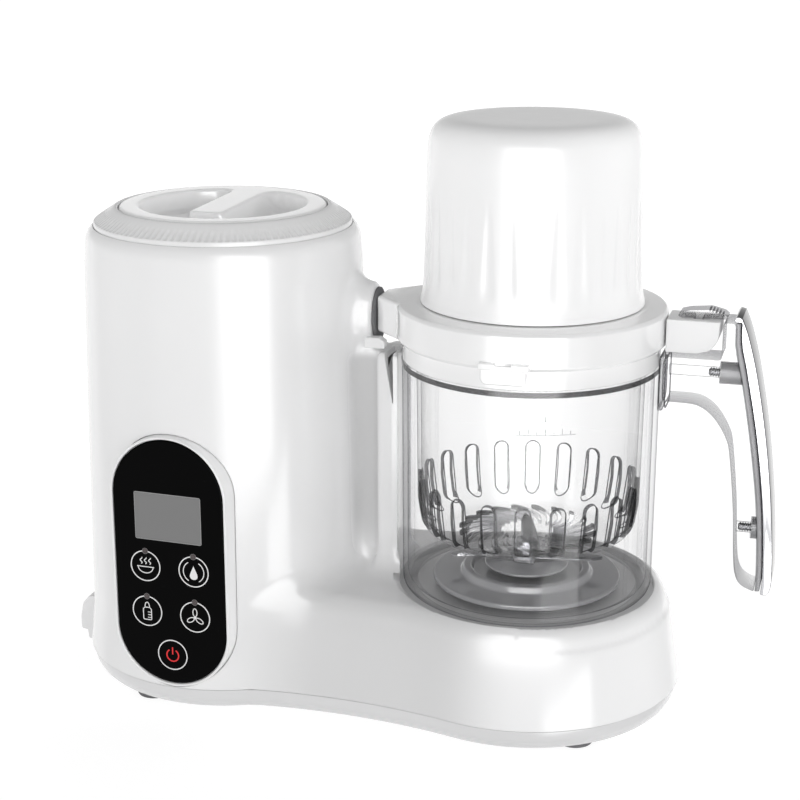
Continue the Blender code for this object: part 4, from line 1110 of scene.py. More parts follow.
PLUG = fillet(
    [(0, 196.0), (46.0, 196.0), (46.9, 197.5), (46.9, 200.2), (45.4, 200.2), (45.4, 203.2),
     (46.9, 203.2), (46.9, 212.4), (43.5, 212.4), (43.5, 199.0), (0, 199.0)],
    [0, 0.8, 0.5, 0.3, 0.3, 0.3, 0.3, 0.6, 0.6, 2.0, 0], 4, closed=False)
lathe("plug_shell", PLUG, WHITE_TANK, "tank_plug_body", 144, TOWER_X, closed=False,
      slot="white_gloss", cad="tank_plug")
PLUG_GASKET = fillet([(45.7, 200.5), (48.0, 200.9), (48.0, 202.5), (45.7, 202.9)], 0.5, 5)
lathe("plug_gasket", PLUG_GASKET, SILICONE, "tank_plug_body", 144, TOWER_X, slot="silicone",
      cad="tank_gasket")
TANK = fillet(
    [(0, 100.0), (46.0, 100.0), (49.8, 104.0), (49.8, 216.0), (48.3, 216.0), (48.3, 104.6),
     (45.4, 101.6), (0, 101.6)], [0, 3, 3, 0.4, 0.4, 2, 2, 0], 5, closed=False)
tank = lathe("tank_liner", TANK, STEEL, None, 144, TOWER_X, closed=False)
carve(tank, [cut_loft([circle_x(TOWER_X + x, 3.6, PORT_Z) for x in (43, 56)])])
register(tank, "base", "water_tank")

# ===================================================================== touch panel
GLASS_FACE = 69.16
# width, height, out
PANEL_FRAME = [
    (56.4, 118.9, 56.0), (56.4, 118.9, 68.5), (56.3, 118.8, 69.0), (56.0, 118.5, 69.3),
    (55.5, 118.0, 69.42), (54.7, 117.2, 69.42), (54.2, 116.7, 69.3), (53.85, 116.35, 69.0),
    (53.7, 116.2, 68.4), (53.6, 116.1, 67.35), (52.0, 114.5, 67.3), (52.0, 114.5, 56.0),
]
PANEL_GLASS = [(53.0, 115.5, 67.6), (53.0, 115.5, 68.75), (52.8, 115.3, 69.0),
               (52.2, 114.7, 69.12), (50.0, 112.5, GLASS_FACE)]
loft("panel_frame", [panel_stadium(*row, 40) for row in PANEL_FRAME], WHITE, "base", loop=True,
     cad="panel_bezel", slot="white_gloss")
loft("panel_glass", [panel_stadium(*row, 40) for row in PANEL_GLASS], GLASS, "base",
     cad="touch_glass", slot="black_glass", sharp=60)


def on_glass(line, out):
    """Place (across, height) points on the panel."""
    return [panel(a, z - PANEL_Z, out) for a, z in line]


def line_sides(points, width, closed):
    """Both sides of a line of some width."""
    points = [np.array(p, float) for p in points]
    count = len(points)
    left, right = [], []
    for i, point in enumerate(points):
        if closed:
            along = points[(i + 1) % count] - points[i - 1]
        else:
            along = points[min(i + 1, count - 1)] - points[max(i - 1, 0)]
        along = along / max(np.linalg.norm(along), 1e-9)
        across = np.array([-along[1], along[0]])
        left.append(point + across * width / 2)
        right.append(point - across * width / 2)
    return left, right


def printed(name, strokes, fills, material, sink=0.1, rise=0.06):
    """Strokes (points, width, closed) and filled outlines as one thin mesh on the glass."""
    low, high = GLASS_FACE - sink, GLASS_FACE + rise
    verts, faces = [], []
    for points, width, closed in strokes:
        left, right = line_sides(points, width, closed)
        base, k = len(verts), len(left)
        for row, out in ((left, low), (right, low), (right, high), (left, high)):
            verts.extend(on_glass(row, out))
        for j in range(k if closed else k - 1):
            for a in range(4):
                b, after = (a + 1) % 4, (j + 1) % k
                faces.append((base + a * k + j, base + a * k + after,
                              base + b * k + after, base + b * k + j))
        if not closed:
            faces.append(tuple(base + a * k for a in range(4)))
            faces.append(tuple(base + a * k + k - 1 for a in reversed(range(4))))
    for outline in fills:
        base, k = len(verts), len(outline)
        for out in (low, high):
            verts.extend(on_glass(outline, out))
        faces.extend([(base + j, base + (j + 1) % k, base + k + (j + 1) % k, base + k + j)
                      for j in range(k)])
        faces.append(tuple(base + j for j in reversed(range(k))))
        faces.append(tuple(base + k + j for j in range(k)))
    faces_out(make(name, np.array(verts), faces, material, "base", smooth=False))


def arc(cx, cz, r, a0=0.0, a1=360.0, n=48, rz=None):
    """Arc between two angles in degrees; rz is the upright radius if it differs."""
    count = n if abs(a1 - a0) >= 359.9 else n + 1
    turns = [math.radians(a0 + (a1 - a0) * i / n) for i in range(count)]
    return [(cx + r * math.cos(a), cz + (rz or r) * math.sin(a)) for a in turns]


def rounded_rect(cz, w, h, radius):
    corners = [(-w / 2, cz - h / 2), (w / 2, cz - h / 2), (w / 2, cz + h / 2),
               (-w / 2, cz + h / 2)]
    return fillet(corners, radius, 4)


display_z = centre_of("display_module").z
window = rounded_rect(display_z, 31.4, 21.4, 0.5)
window_rings = [on_glass(window, GLASS_FACE - 0.4), on_glass(window, GLASS_FACE + 0.05)]
display = faces_out(make("display_window", *skin(window_rings), LCD, "base", smooth=False))
printed("display_border", [(rounded_rect(display_z, 31.9, 21.9, 0.6), 0.35, True)], [],
        moulded("display_edge", (0.33, 0.33, 0.33), rough=0.3, edge=0.0), sink=0.3, rise=0.08)

KEY_R, KEY_LINE, ICON_LINE = 7.1, 0.5, 0.42


# each icon returns its strokes and its fills
def dish_icon(cx, cz):
    """Three wavy lines over a dish."""
    lines = [arc(cx, cz - 0.4, 3.7, 180, 360, 20, 3.0), [(cx - 4.2, cz - 0.4), (cx + 4.2, cz - 0.4)]]
    for k in (-1, 0, 1):
        lines.append([(cx + 2.1 * k + 0.5 * math.sin(t * 1.7), cz + 0.9 + t * 0.62)
                      for t in np.linspace(0, 5, 14)])
    return [(line, ICON_LINE, False) for line in lines], []


def drop_icon(cx, cz):
    """A drop between two arcs."""
    drop = [(cx + 2.3 * math.sin(t) * (1 - math.cos(t)) / 1.6, cz - 0.4 + 3.4 * math.cos(t))
            for t in np.linspace(0, 2 * math.pi, 41)[:-1]]
    sides = [arc(cx, cz - 0.1, 5.0, a0, a0 + 120, 20) for a0 in (-60, 120)]
    return [(line, ICON_LINE, False) for line in sides], [drop]


def bottle_icon(cx, cz):
    """A feeding bottle with three level marks."""
    outline = fillet([(cx - 2.0, cz - 4.2), (cx + 2.0, cz - 4.2), (cx + 2.0, cz + 0.9),
                      (cx + 1.2, cz + 1.7), (cx - 1.2, cz + 1.7), (cx - 2.0, cz + 0.9)], 0.5, 3)
    strokes = [(outline, ICON_LINE, True),
               (arc(cx, cz + 2.0, 1.1, 0, 180, 12, 2.2), ICON_LINE, False)]
    for k in range(3):
        z = cz - 3.1 + 1.3 * k
        strokes.append(([(cx + 0.2, z), (cx + 1.7, z)], 0.32, False))
    return strokes, []


def rotor_icon(cx, cz):
    """Three oval blades round a hub."""
    strokes = []
    for k in range(3):
        a = math.radians(90 + 120 * k)
        c, s = math.cos(a), math.sin(a)
        petal = [(cx + 2.5 * c + 1.9 * math.cos(t) * c - 1.0 * math.sin(t) * s,
                  cz - 0.3 + 2.5 * s + 1.9 * math.cos(t) * s + 1.0 * math.sin(t) * c)
                 for t in np.linspace(0, 2 * math.pi, 25)[:-1]]
        strokes.append((petal, ICON_LINE, True))
    return strokes, [arc(cx, cz - 0.3, 0.75, n=16)]


for key, cx, cz, icon in (("a", -11.8, 72.0, dish_icon), ("b", 11.8, 72.0, drop_icon),
                          ("c", -11.8, 50.2, bottle_icon), ("d", 11.8, 50.2, rotor_icon)):
    strokes, fills = icon(cx, cz)
    # the key's ring is open at the top, where its LED sits
    ring = (arc(cx, cz, KEY_R, 101, 439, 60), KEY_LINE, False)
    printed(f"key_mark_{key}", [ring] + strokes, fills, PRINT)
    printed(f"key_led_{key}", [], [arc(cx, cz + KEY_R, 1.15, n=24)], LED, rise=0.07)
    printed(f"key_led_edge_{key}", [(arc(cx, cz + KEY_R, 1.35, n=24), 0.22, True)], [],
            moulded(f"led_edge_{key}", (0.16, 0.15, 0.15), rough=0.4, edge=0.0))
printed("key_ring_power", [(arc(0, 30.2, KEY_R, n=64), KEY_LINE, True)], [], PRINT)
printed("power_symbol", [(arc(0, 30.0, 2.9, 122, 418, 40), 0.62, False),
                         ([(0, 30.4), (0, 33.9)], 0.62, False)], [], RED)

# ===================================================================== jar
JAR = [(6.3, 55.4), (50.0, 55.4), (50.6, 55.8), (51.4, 55.8), (52.2, 55.4), (54.0, 55.7),
       (55.4, 56.5), (56.4, 57.7), (56.95, 59.2), (57.1, 62.0), (57.5, 154.0), (57.6, 156.4),
       (57.6, 159.6), (57.2, 160.0), (55.6, 160.0), (55.2, 159.6), (55.0, 110.0), (54.9, 63.0),
       (54.4, 61.0), (53.2, 59.4), (50.6, 58.2), (6.3, 58.2)]
# section of the ribs inside the wall: radius, sideways
JAR_RIB = fillet([(56.0, -1.3), (52.2, -1.1), (52.2, 1.1), (56.0, 1.3)], [0, 0.5, 0.5, 0], 4)

jar = lathe("jar_shell", JAR, CLEAR_WALL, None, 192, sharp=50)
for degrees in (23, -23, 157, 203):
    section = [from_jar(r, t, math.radians(degrees)) for r, t in JAR_RIB]
    carve(jar, [cut_loft(stretch_z(section, 60.2, 158.0))], "UNION", sharp=50)
jar.data.materials.append(CLEAR_FOOT)
for poly in jar.data.polygons:
    middle = poly.center / MM
    if middle.z < 60.0 and math.hypot(middle.x - JAR_X, middle.y) > 50.3:
        poly.material_index = 1
register(jar, "jar_body", "jar")


def jar_scale():
    """Fine marks round the jar's wall: a long line, short ticks and a small T above."""
    verts, faces = [], []

    def bar(a0, a1, z0, z1):
        steps = max(2, int(abs(a1 - a0) / 1.0) + 1)
        base, m = len(verts), steps + 1
        for r in (57.48, 57.62):
            for z in (z0, z1):
                for j in range(m):
                    a = math.radians(a0 + (a1 - a0) * j / steps)
                    verts.append((JAR_X + r * math.cos(a), r * math.sin(a), z))
        for j in range(steps):
            for a, b in ((0, 1), (3, 2), (1, 3), (2, 0)):
                faces.append((base + a * m + j, base + a * m + j + 1,
                              base + b * m + j + 1, base + b * m + j))
        faces.append((base, base + m, base + 3 * m, base + 2 * m))
        faces.append((base + steps, base + 2 * m + steps, base + 3 * m + steps,
                      base + m + steps))

    centre, pitch = -72.0, 3.6                           # in degrees
    bar(centre - 13, centre + 13, 144.0, 144.3)
    for k in range(-3, 4):
        tick = centre + pitch * k
        bar(tick - 0.18, tick + 0.18, 144.3, 146.0 if k % 2 else 147.0)
    bar(centre - 2.5, centre + 2.5, 150.0, 150.25)
    bar(centre - 0.2, centre + 0.2, 150.25, 152.4)
    ink = moulded("scale_mark", (0.52, 0.52, 0.53), rough=0.5, edge=0.0)
    faces_out(make("jar_scale", verts, faces, ink, "jar_body", smooth=False))


jar_scale()

# ===================================================================== handle
# lines of (radius from the jar's axis, height)
GRIP_IN = [(61.6, 149.6), (72.0, 149.4), (76.6, 148.4), (81.0, 145.6), (85.0, 141.0),
           (88.4, 135.0), (90.3, 128.0), (93.0, 104.0), (94.4, 81.0), (95.7, 72.0),
           (98.6, 67.6), (104.2, 65.2)]
GRIP_SPLIT = [(104.2, 65.2), (104.6, 77.0), (102.9, 105.0), (99.1, 132.5), (94.6, 157.5),
              (91.6, 170.5), (90.4, 177.0)]
BACK_OUT = [(92.4, 186.4), (92.9, 177.0), (95.6, 165.0), (101.0, 137.4), (104.8, 110.0),
            (106.6, 87.0), (107.1, 72.0), (106.6, 65.4)]
CHROME_OUT = [(93.0, 189.0), (96.2, 181.0), (100.7, 164.0), (105.7, 137.6), (109.3, 110.0),
              (111.1, 87.0), (111.6, 71.0), (110.6, 65.4)]
UPPER_Z, LOWER_Z = 162.0, 92.0                           # heights of the two screws


def bead(name, path, radius, out, body):
    """A fine clear bead along a closed path, which lies across the direction out; its grey is painted
    shade along an edge.
    """
    rings, count = [], len(path)
    for i, point in enumerate(path):
        side = (path[(i + 1) % count] - path[i - 1]).normalized().cross(out).normalized()
        turns = [math.tau * j / 6 for j in range(6)]
        rings.append([tuple(point + side * (radius * math.cos(w)) + out * (radius * math.sin(w)))
                      for w in turns])
    loft(name, rings, CLEAR_BEAD_PAINTED_SHADE, body, loop=True, sharp=80, slot="clear_plastic")


def rod(profile, z, start):
    """Turned cutter along +X from start; profile rows are (radius, distance)."""
    return cut_loft([circle_x(JAR_X + start + x, r, z, 40) for r, x in profile])


# rounded rims of the handle's root plate, their grey painted shade: name, radius, half width, bottom,
# top
for label, r, wide, low, high in (("outer", 61.3, 9.3, 145.6, 168.4),
                                  ("inner", 60.0, 6.6, 148.0, 167.0),
                                  ("wall", 58.7, 9.3, 145.6, 168.4)):
    half = (high - low) / 2
    rim = fillet([(-wide, half), (wide, half), (wide, -half), (-wide, -half)],
                 [2.4, 2.4, 5.5, 5.5], 8)
    bead(f"handle_root_rim_{label}", [Vector((JAR_X + r, y, (low + high) / 2 + z)) for y, z in rim],
         0.36, Vector((1, 0, 0)), "jar_body")

root_low = fillet([(58.2, 167.6), (58.2, 145.2), (60.4, 145.2), (61.6, 149.6)],
                  [0, 0.8, 0.8, 0], 3, closed=False)
root_top = fillet([(90.4, 177.0), (90.2, 186.2), (84.9, 186.2), (84.9, 169.6), (60.6, 169.6),
                   (58.2, 169.6), (58.2, 167.0)], [0, 1.4, 1.4, 1.5, 0, 1.8, 0], 4, closed=False)
grip_line = root_low[1:-1] + curve(GRIP_IN, 1.6) + curve(GRIP_SPLIT, 2.0)[1:] + root_top[1:]
grip = slab("handle_core", grip_line, 9.5, CLEAR_GRIP, 1.1, 4)
carve(grip, [rod([(2.4, -16.6), (2.4, 5.4), (4.9, 5.401), (4.9, 40)], UPPER_Z, 78.4),
             rod([(2.4, 0), (2.4, 6.4), (4.9, 6.401), (4.9, 40)], LOWER_Z, 94.4)], sharp=45)
register(grip, "jar_body", "handle_body")

# grey insert between the clear grip and the chrome, with a boss for each screw
BACK_GAP = 0.32
back_line = ([(r + BACK_GAP, z) for r, z in curve(GRIP_SPLIT[:-1], 2.0)]
             + [(90.7, 177.0), (90.5, 186.4)] + curve(BACK_OUT, 2.0))
back = slab("handle_insert", back_line, 9.1, GREY, 0.5, 2)
carve(back, [rod([(4.5, 0), (4.5, 10.4)], UPPER_Z, 84.2),
             rod([(4.5, 0), (4.5, 4.6)], LOWER_Z, 101.2)], "UNION", sharp=45)
carve(back, [rod([(2.3, 0), (2.3, 11.4), (3.9, 11.401), (3.9, 22)], UPPER_Z, 82.0),
             rod([(2.3, 0), (2.3, 5.2), (3.9, 5.201), (3.9, 14)], LOWER_Z, 99.0)], sharp=45)
register(back, "jar_body", "handle_backing")

TRIM_GAP = 0.45
trim_inside = curve([(r + TRIM_GAP, z) for r, z in reversed(BACK_OUT)], 2.0)
trim_low = fillet([(110.6, 65.4), (109.4, 64.2), (107.1, 64.2), (107.05, 65.4)],
                  [0, 0.8, 0.8, 0], 4, closed=False)
trim_top = fillet([(92.9, 186.9), (90.0, 186.9), (89.6, 188.2), (90.7, 189.5), (92.8, 189.3)],
                  [0, 0.9, 1.0, 0.9, 0], 4, closed=False)
trim_line = curve(CHROME_OUT, 2.0) + trim_low[1:-1] + trim_inside[:-1] + trim_top[:-1]
trim = slab("handle_chrome", trim_line, 10.1, CHROME, 1.5, 5)
register(trim, "jar_body", "handle_trim")


def handle_bolt(label, length, start, z):
    """A threaded screw lying along +X."""
    profile = [(0, 0), (1.2, 0), (1.9, 0.8)]
    x = 1.0
    while x < length - 3.0:
        profile += [(2.05, x), (1.5, x + 0.5), (2.05, x + 1.0)]
        x += 1.1
    profile += [(2.0, length - 1.6), (3.3, length - 1.6), (3.6, length - 1.3),
                (3.6, length - 0.5), (3.2, length), (0, length)]
    bolt = lathe(f"handle_bolt_{label}", profile, SCREW, None, 32, JAR_X + start, z, axis="X",
                 closed=False)
    register(bolt, "jar_body", f"handle_screw_{label}")


handle_bolt("upper", 16.4, 79.0, UPPER_Z)
handle_bolt("lower", 10.8, 95.2, LOWER_Z)

# ===================================================================== blade unit
DECK = fillet([(9.4, 58.5), (43.0, 58.5), (43.0, 60.6), (30.2, 61.0), (29.0, 64.0),
               (25.6, 64.0), (24.4, 61.2), (9.4, 61.2)],
              [0.2, 0.3, 0.8, 1.2, 1.0, 1.0, 1.2, 0.3], 4)
BUSH = fillet([(3.0, 51.9), (6.0, 51.9), (6.0, 58.5), (9.1, 58.5), (9.1, 60.6), (6.4, 61.4),
               (6.4, 63.2), (3.0, 63.2)], [0.3, 0.3, 0, 0, 0.4, 0.4, 0.3, 0.3], 3)
SPINDLE = [(0, 45.0), (1.9, 45.3), (2.6, 46.6), (2.92, 48.0), (2.92, 73.6), (2.6, 74.2),
           (0, 74.2)]
HUB = fillet([(3.3, 64.4), (18.6, 64.4), (19.5, 65.6), (13.0, 67.2), (10.4, 68.2), (3.3, 68.2)],
             [0.2, 0.5, 0.7, 3.0, 0.8, 0.2], 5)
HUB_BORE = 3.3


def hex_nut(name, across, z0, z1, chamfer, bore, body, cad_name):
    """Hexagon with chamfered corners; bore is (radius, z0, z1, sides)."""
    nut = drill(across, z0, z1, 6)
    carve(nut, [cut_lathe(chamfer, 64)], "INTERSECT")
    carve(nut, [drill(*bore)])
    register(adopt(nut, name, STEEL), body, cad_name)


def toothed(name, disc, z0, z1, start, body, cad_name):
    """Coupling disc with three blunt teeth from z0 to z1."""
    dog = lathe(name, disc, DARK, None, 96)
    for k in range(3):
        mid = start + 2 * math.pi * k / 3
        turns = np.linspace(mid - math.radians(24), mid + math.radians(24), 9)
        points = [(JAR_X + 11.0 * math.cos(a), 11.0 * math.sin(a)) for a in turns]
        points += [(JAR_X + 5.6 * math.cos(a), 5.6 * math.sin(a)) for a in reversed(turns)]
        points = fillet(points, [0.8] + [0] * 7 + [0.8, 0.6] + [0] * 7 + [0.6], 3)
        carve(dog, [cut_loft(stretch_z(points, z0, z1))], "UNION", sharp=45)
    register(dog, body, cad_name)


def wing(tip_z, turn, reach, root_z=69.0, thick=1.2):
    """One blade: swept back, bent towards tip_z, with one thin cutting edge."""
    # sideways in half widths, height: the third point is the cutting edge's top
    section = ((-1.0, 0.0), (1.0, 0.0), (1.0, 0.08), (0.72, thick), (-0.72, thick),
               (-1.0, 0.35 * thick))
    rings = []
    for i in range(29):
        s = i / 28.0
        lift = (tip_z - root_z) * max(0.0, (s - 0.3) / 0.7) ** 1.5
        back = 7.0 * s * s
        half = 6.0 * (1 - 0.55 * s) * (1 - 0.75 * max(0.0, (s - 0.86) / 0.14) ** 2)
        rings.append([(*from_jar(reach * s, u * half + back, turn), root_z + lift + h)
                      for u, h in section])
    return cut_loft(rings)


lathe("blade_deck", DECK, GREY_DISC, "jar_body", 144, slot="grey_plastic", cad="blade_seat")
lathe("bush_turned", BUSH, BRASS, "jar_body", 64, slot="brass", cad="blade_bush")
hex_nut("bush_hex", 10.2, 52.1, 55.1, [(12.4, 50.4), (8.6, 56.6)], (6.4, 50, 57, 48),
        "jar_body", "bush_nut")
lathe("spindle", SPINDLE, STEEL, "blade_unit", 48, closed=False, slot="steel",
      cad="blade_shaft")
toothed("drive_dog", [(3.3, 40.4), (11.2, 40.4), (11.6, 40.8), (11.6, 42.8), (11.2, 43.2),
                      (3.3, 43.2)], 42.6, 47.4, 0.0, "rotor", "drive_coupling")
toothed("driven_dog", [(3.3, 48.2), (11.2, 48.2), (11.6, 48.6), (11.6, 50.4), (11.2, 50.8),
                       (3.3, 50.8)], 43.6, 48.8, math.pi / 3, "blade_unit", "driven_coupling")
lathe("hub_cone", HUB, GREY_DISC, "blade_unit", 80, slot="dark_plastic", cad="blade_hub")
hex_nut("blade_cap_nut", 6.8, 70.8, 76.4, [(7.4, 70.2), (7.4, 72.8), (4.6, 76.6)],
        (HUB_BORE, 69.0, 74.6, 48), "blade_unit", "blade_nut")

blades = wing(67.2, 0.0, 34.0)
carve(blades, [wing(67.2, math.pi, 34.0), wing(76.4, math.pi / 2, 30.0),
               wing(76.4, 3 * math.pi / 2, 30.0)], "UNION", sharp=35)
carve(blades, [drill(HUB_BORE, 60, 80, 48)], sharp=35)
register(adopt(blades, "blade_set", BLADE), "blade_unit", "blade_wings")

# ===================================================================== steaming basket
BASKET = fillet(
    [(0, 80.0), (39.0, 80.0), (48.4, 84.8), (50.4, 97.0), (51.2, 160.3), (57.6, 160.3),
     (57.6, 162.8), (50.8, 162.8), (49.4, 160.6), (48.6, 97.0), (46.8, 86.4), (38.6, 81.8),
     (0, 81.8)], [0, 9, 8, 20, 0.5, 0.4, 0.4, 1.2, 2.0, 18, 6.5, 7.5, 0], 8, closed=False)
SLOTS, SLOT_Z = 20, 96.0                                 # side slots and their mid height
SLOT_ANGLES = [2 * math.pi * (k + 0.5) / SLOTS for k in range(SLOTS)]
FLOOR_IN, FLOOR_OUT = 12.0, 31.5                         # reach of the curved floor slots


def side_slot(angle):
    return cut_loft([[(*from_jar(r, t, angle), SLOT_Z + u) for t, u in stadium(6.4, 24.0, 12)]
                     for r in (40.0, 54.0)])


def floor_slot(start):
    """A slot that widens and swings round as it runs outwards."""
    left, right = [], []
    for i in range(9):
        t = i / 8
        r = FLOOR_IN + (FLOOR_OUT - FLOOR_IN) * t
        a = start + 0.75 * t
        w = (0.75 + 1.0 * t) / r
        left.append((JAR_X + r * math.cos(a - w), r * math.sin(a - w)))
        right.append((JAR_X + r * math.cos(a + w), r * math.sin(a + w)))
    outline = fillet(left + right[::-1], [0.7] + [0] * 7 + [1.2, 1.2] + [0] * 7 + [0.7], 3)
    return cut_loft(stretch_z(outline, 78.0, 84.5))


def shade_cut_edges(mesh):
    """Darker materials, painted shade, on the walls of the floor slots and low in the side slots."""
    mesh.materials.append(CLEAR_EDGE_PAINTED_SHADE)
    mesh.materials.append(CLEAR_SLOT_PAINTED_SHADE)
    for poly in mesh.polygons:
        centre, normal = poly.center, poly.normal
        dx = centre.x - JAR_X * MM
        radius = math.hypot(dx, centre.y)
        outward = Vector((dx, centre.y, 0)).normalized()
        sideways = abs(-outward.y * normal.x + outward.x * normal.y)
        if centre.z < 82.6 * MM and radius < 34.5 * MM:
            if abs(normal.z) < 0.5:
                poly.material_index = 1 if radius > 26.0 * MM else 2
        elif centre.z < 109.5 * MM:
            if sideways > 0.72 or (centre.z > 106.0 * MM and normal.z < -0.5):
                poly.material_index = 1


basket = lathe("steam_basket", BASKET, CLEAR_BASKET, None, 160, closed=False, sharp=50)
carve(basket, [side_slot(angle) for angle in SLOT_ANGLES], sharp=45)
carve(basket, [floor_slot(2 * math.pi * k / SLOTS) for k in range(SLOTS)], sharp=45)
shade_cut_edges(basket.data)
register(basket, "basket_body", "basket")

# a bead round the inner edge of each side slot follows the basket's inner wall; its grey is painted
# shade
rim_end = max(i for i, (_, z) in enumerate(BASKET) if z > 162.7)
inner_wall = [p for p in BASKET[rim_end + 1:] if p[0] > 40.0][::-1]
wall_r, wall_z = zip(*inner_wall)
for k, angle in enumerate(SLOT_ANGLES, 1):
    path = []
    for t, u in stadium(6.9, 24.5, 10):
        r = float(np.interp(SLOT_Z + u, wall_z, wall_r)) - 0.05
        b = angle + t / r
        path.append(Vector((JAR_X + r * math.cos(b), r * math.sin(b), SLOT_Z + u)))
    bead(f"slot_bead_{k}", path, 0.30, Vector((math.cos(angle), math.sin(angle), 0)),
         "basket_body")

# painted shade on the rim's edge: a thin dark skin that draws the dark line under the lid
RIM_EDGE = fillet([(57.62, 160.35), (57.8, 160.35), (57.8, 162.75), (57.62, 162.75)], 0.06, 3)
lathe("basket_rim_edge", RIM_EDGE, RIM_PAINTED_SHADE, "basket_body", 192)

# ===================================================================== lid
LID = fillet(
    [(55.0, 163.2), (57.5, 163.2), (57.5, 172.2), (59.2, 172.2), (60.3, 173.6), (60.3, 186.8),
     (59.0, 188.2), (51.6, 188.9), (45.7, 188.9), (45.7, 194.4), (43.4, 194.4), (43.4, 185.8),
     (55.0, 183.6)], [0.5, 0.7, 0.5, 0.4, 0.8, 1.2, 1.2, 2.0, 0.8, 0.6, 0.5, 0.8, 2.0], 5)
# plan of the spout towards the tower, x from the jar's axis
SPOUT = [(-48.0, 24.0), (-57.0, 19.9), (-69.5, 7.4), (-69.5, -7.4), (-57.0, -19.9),
         (-48.0, -24.0)]
SPOUT_Z = 179.0
TAB_X = JAR_X + 0.6                                      # tab on the lid's front


def lid():
    ring = lathe("lid_ring", LID, WHITE_LID, None, 192, sharp=50)
    spout = bevelled_prism([(JAR_X + x, y) for x, y in SPOUT], 171.6, 188.3, 1.8, 5, 40)
    carve(spout, [drill(55.4, 160.0, 200.0, 144)], sharp=45)
    carve(ring, [spout], "UNION", sharp=45)
    tab_line = fillet([(-9.9, 175.0), (-9.9, 166.3), (9.9, 166.3), (9.9, 175.0)],
                      [0, 2.9, 2.9, 0], 6)
    tab = cut_loft(stretch_y(tab_line, -56.4, -61.9, TAB_X))
    bevel(tab, 0.9, 4, 60)
    carve(tab, [])
    carve(ring, [tab], "UNION", sharp=45)
    ledge = block(TAB_X - 10.6, TAB_X + 10.9, -62.5, -56.4, 172.9, 175.6, 0.45, 3)
    carve(ring, [ledge], "UNION", sharp=45)
    notch = block(TAB_X - 3.6, TAB_X + 3.6, -64.0, -60.7, 174.7, 178.0, 0.2, 1)
    carve(ring, [notch], sharp=45)
    bore = cut_lathe([(5.2, JAR_X - 73.0), (5.2, JAR_X - 51.0)], 64, 0, SPOUT_Z, axis="X")
    carve(ring, [bore], sharp=45)
    register(ring, "lid", "lid_body")


lid()
lathe("spout_ring", fillet([(3.6, 0), (4.9, 0), (4.9, 5.0), (3.6, 5.0)], 0.4, 4), RUBBER, "lid",
      64, JAR_X - 69.9, SPOUT_Z, axis="X", slot="rubber", cad="spout_seal")
lathe("lid_seal", fillet([(51.2, 163.4), (54.6, 163.4), (54.6, 166.2), (51.2, 165.4)], 0.6, 4),
      SILICONE, "lid", 144, slot="silicone", cad="lid_gasket")

# ===================================================================== latch
LATCH = fillet([(60.7, 186.4), (60.7, 171.8), (74.0, 171.8), (80.0, 173.4), (83.4, 178.4),
                (83.8, 186.4)], [0.5, 0.5, 6, 6, 8, 0.6], 6)
BUTTON = fillet(
    [(65.0, 187.2), (66.0, 186.8), (71.8, 186.8), (71.8, 179.0), (75.4, 179.0), (75.4, 186.8),
     (85.6, 186.8), (86.6, 187.6), (84.6, 189.2), (79.0, 190.6), (70.0, 189.8), (66.0, 188.8)],
    [0.4, 0.3, 0.3, 0.4, 0.4, 0.3, 0.3, 0.5, 2, 5, 5, 1], 4)
latch = slab("latch_case", LATCH, 9.0, WHITE_LATCH, 1.6, 4)
carve(latch, [block(JAR_X + 66.6, JAR_X + 79.0, -5.0, 5.0, 177.6, 192.0, 0.8, 3)], sharp=45)
register(latch, "lid", "latch_housing")
button = slab("latch_thumb", BUTTON, 4.6, CLEAR_GRIP, 0.0, 0)
register(button, "latch", "latch_button")
for k in range(5):
    x = JAR_X + 78.2 + 1.35 * k
    z = 190.3 - 0.32 * k - 0.05 * k * k
    rib = [(x, z - 0.5), (x + 0.6, z - 0.6), (x + 0.6, z + 0.18), (x, z + 0.24)]
    loft(f"latch_rib_{k + 1}", stretch_y(rib, -4.2, 4.2), CLEAR_GRIP, "latch",
         slot="white_gloss")

# ===================================================================== dome
FLUTES, FLUTE_DEPTH = 30, 0.95
DOME_TOP, DOME_UNDERSIDE, DOME_FOOT = 270.0, 267.4, 189.3
DOME_SIDE = [(49.55, 189.35), (49.35, 191.0), (48.6, 194.0), (47.9, 205.0), (47.3, 232.0),
             (46.9, 252.0)]
DOME_SHOULDER = [(46.9, 252.0), (46.5, 258.5), (45.3, 263.6), (42.9, 267.0), (39.2, 269.0),
                 (34.0, 269.85), (27.0, DOME_TOP)]
DOME_INSIDE = [(46.6, 190.0), (44.4, 230.0), (43.5, 252.0), (42.4, 259.5), (39.4, 264.6),
               (34.0, 267.2), (24.0, DOME_UNDERSIDE)]


def fluted(r, z, angles):
    """Tapering hollows round the outer side, widest low down and faded out at the foot."""
    if r <= np.interp(z, [189.0, 194.0, 232.0, 254.0, 270.0], [49.0, 48.0, 46.4, 45.8, 60.0]):
        return np.full(angles.shape, r)
    taper = np.clip((240.0 - z) / 46.0, 0, 1)
    width = 0.16 + 0.34 * taper                          # share of the pitch
    phase = (angles * FLUTES / (2 * math.pi)) % 1.0
    d = np.abs(phase - 0.5) / width
    hollow = np.where(d < 1, 0.5 + 0.5 * np.cos(np.pi * np.clip(d, 0, 1)), 0)
    fade = np.clip((z - 194.0) / 12.0, 0, 1)
    fade = fade * fade * (3 - 2 * fade)
    return r - FLUTE_DEPTH * hollow * taper ** 0.7 * fade


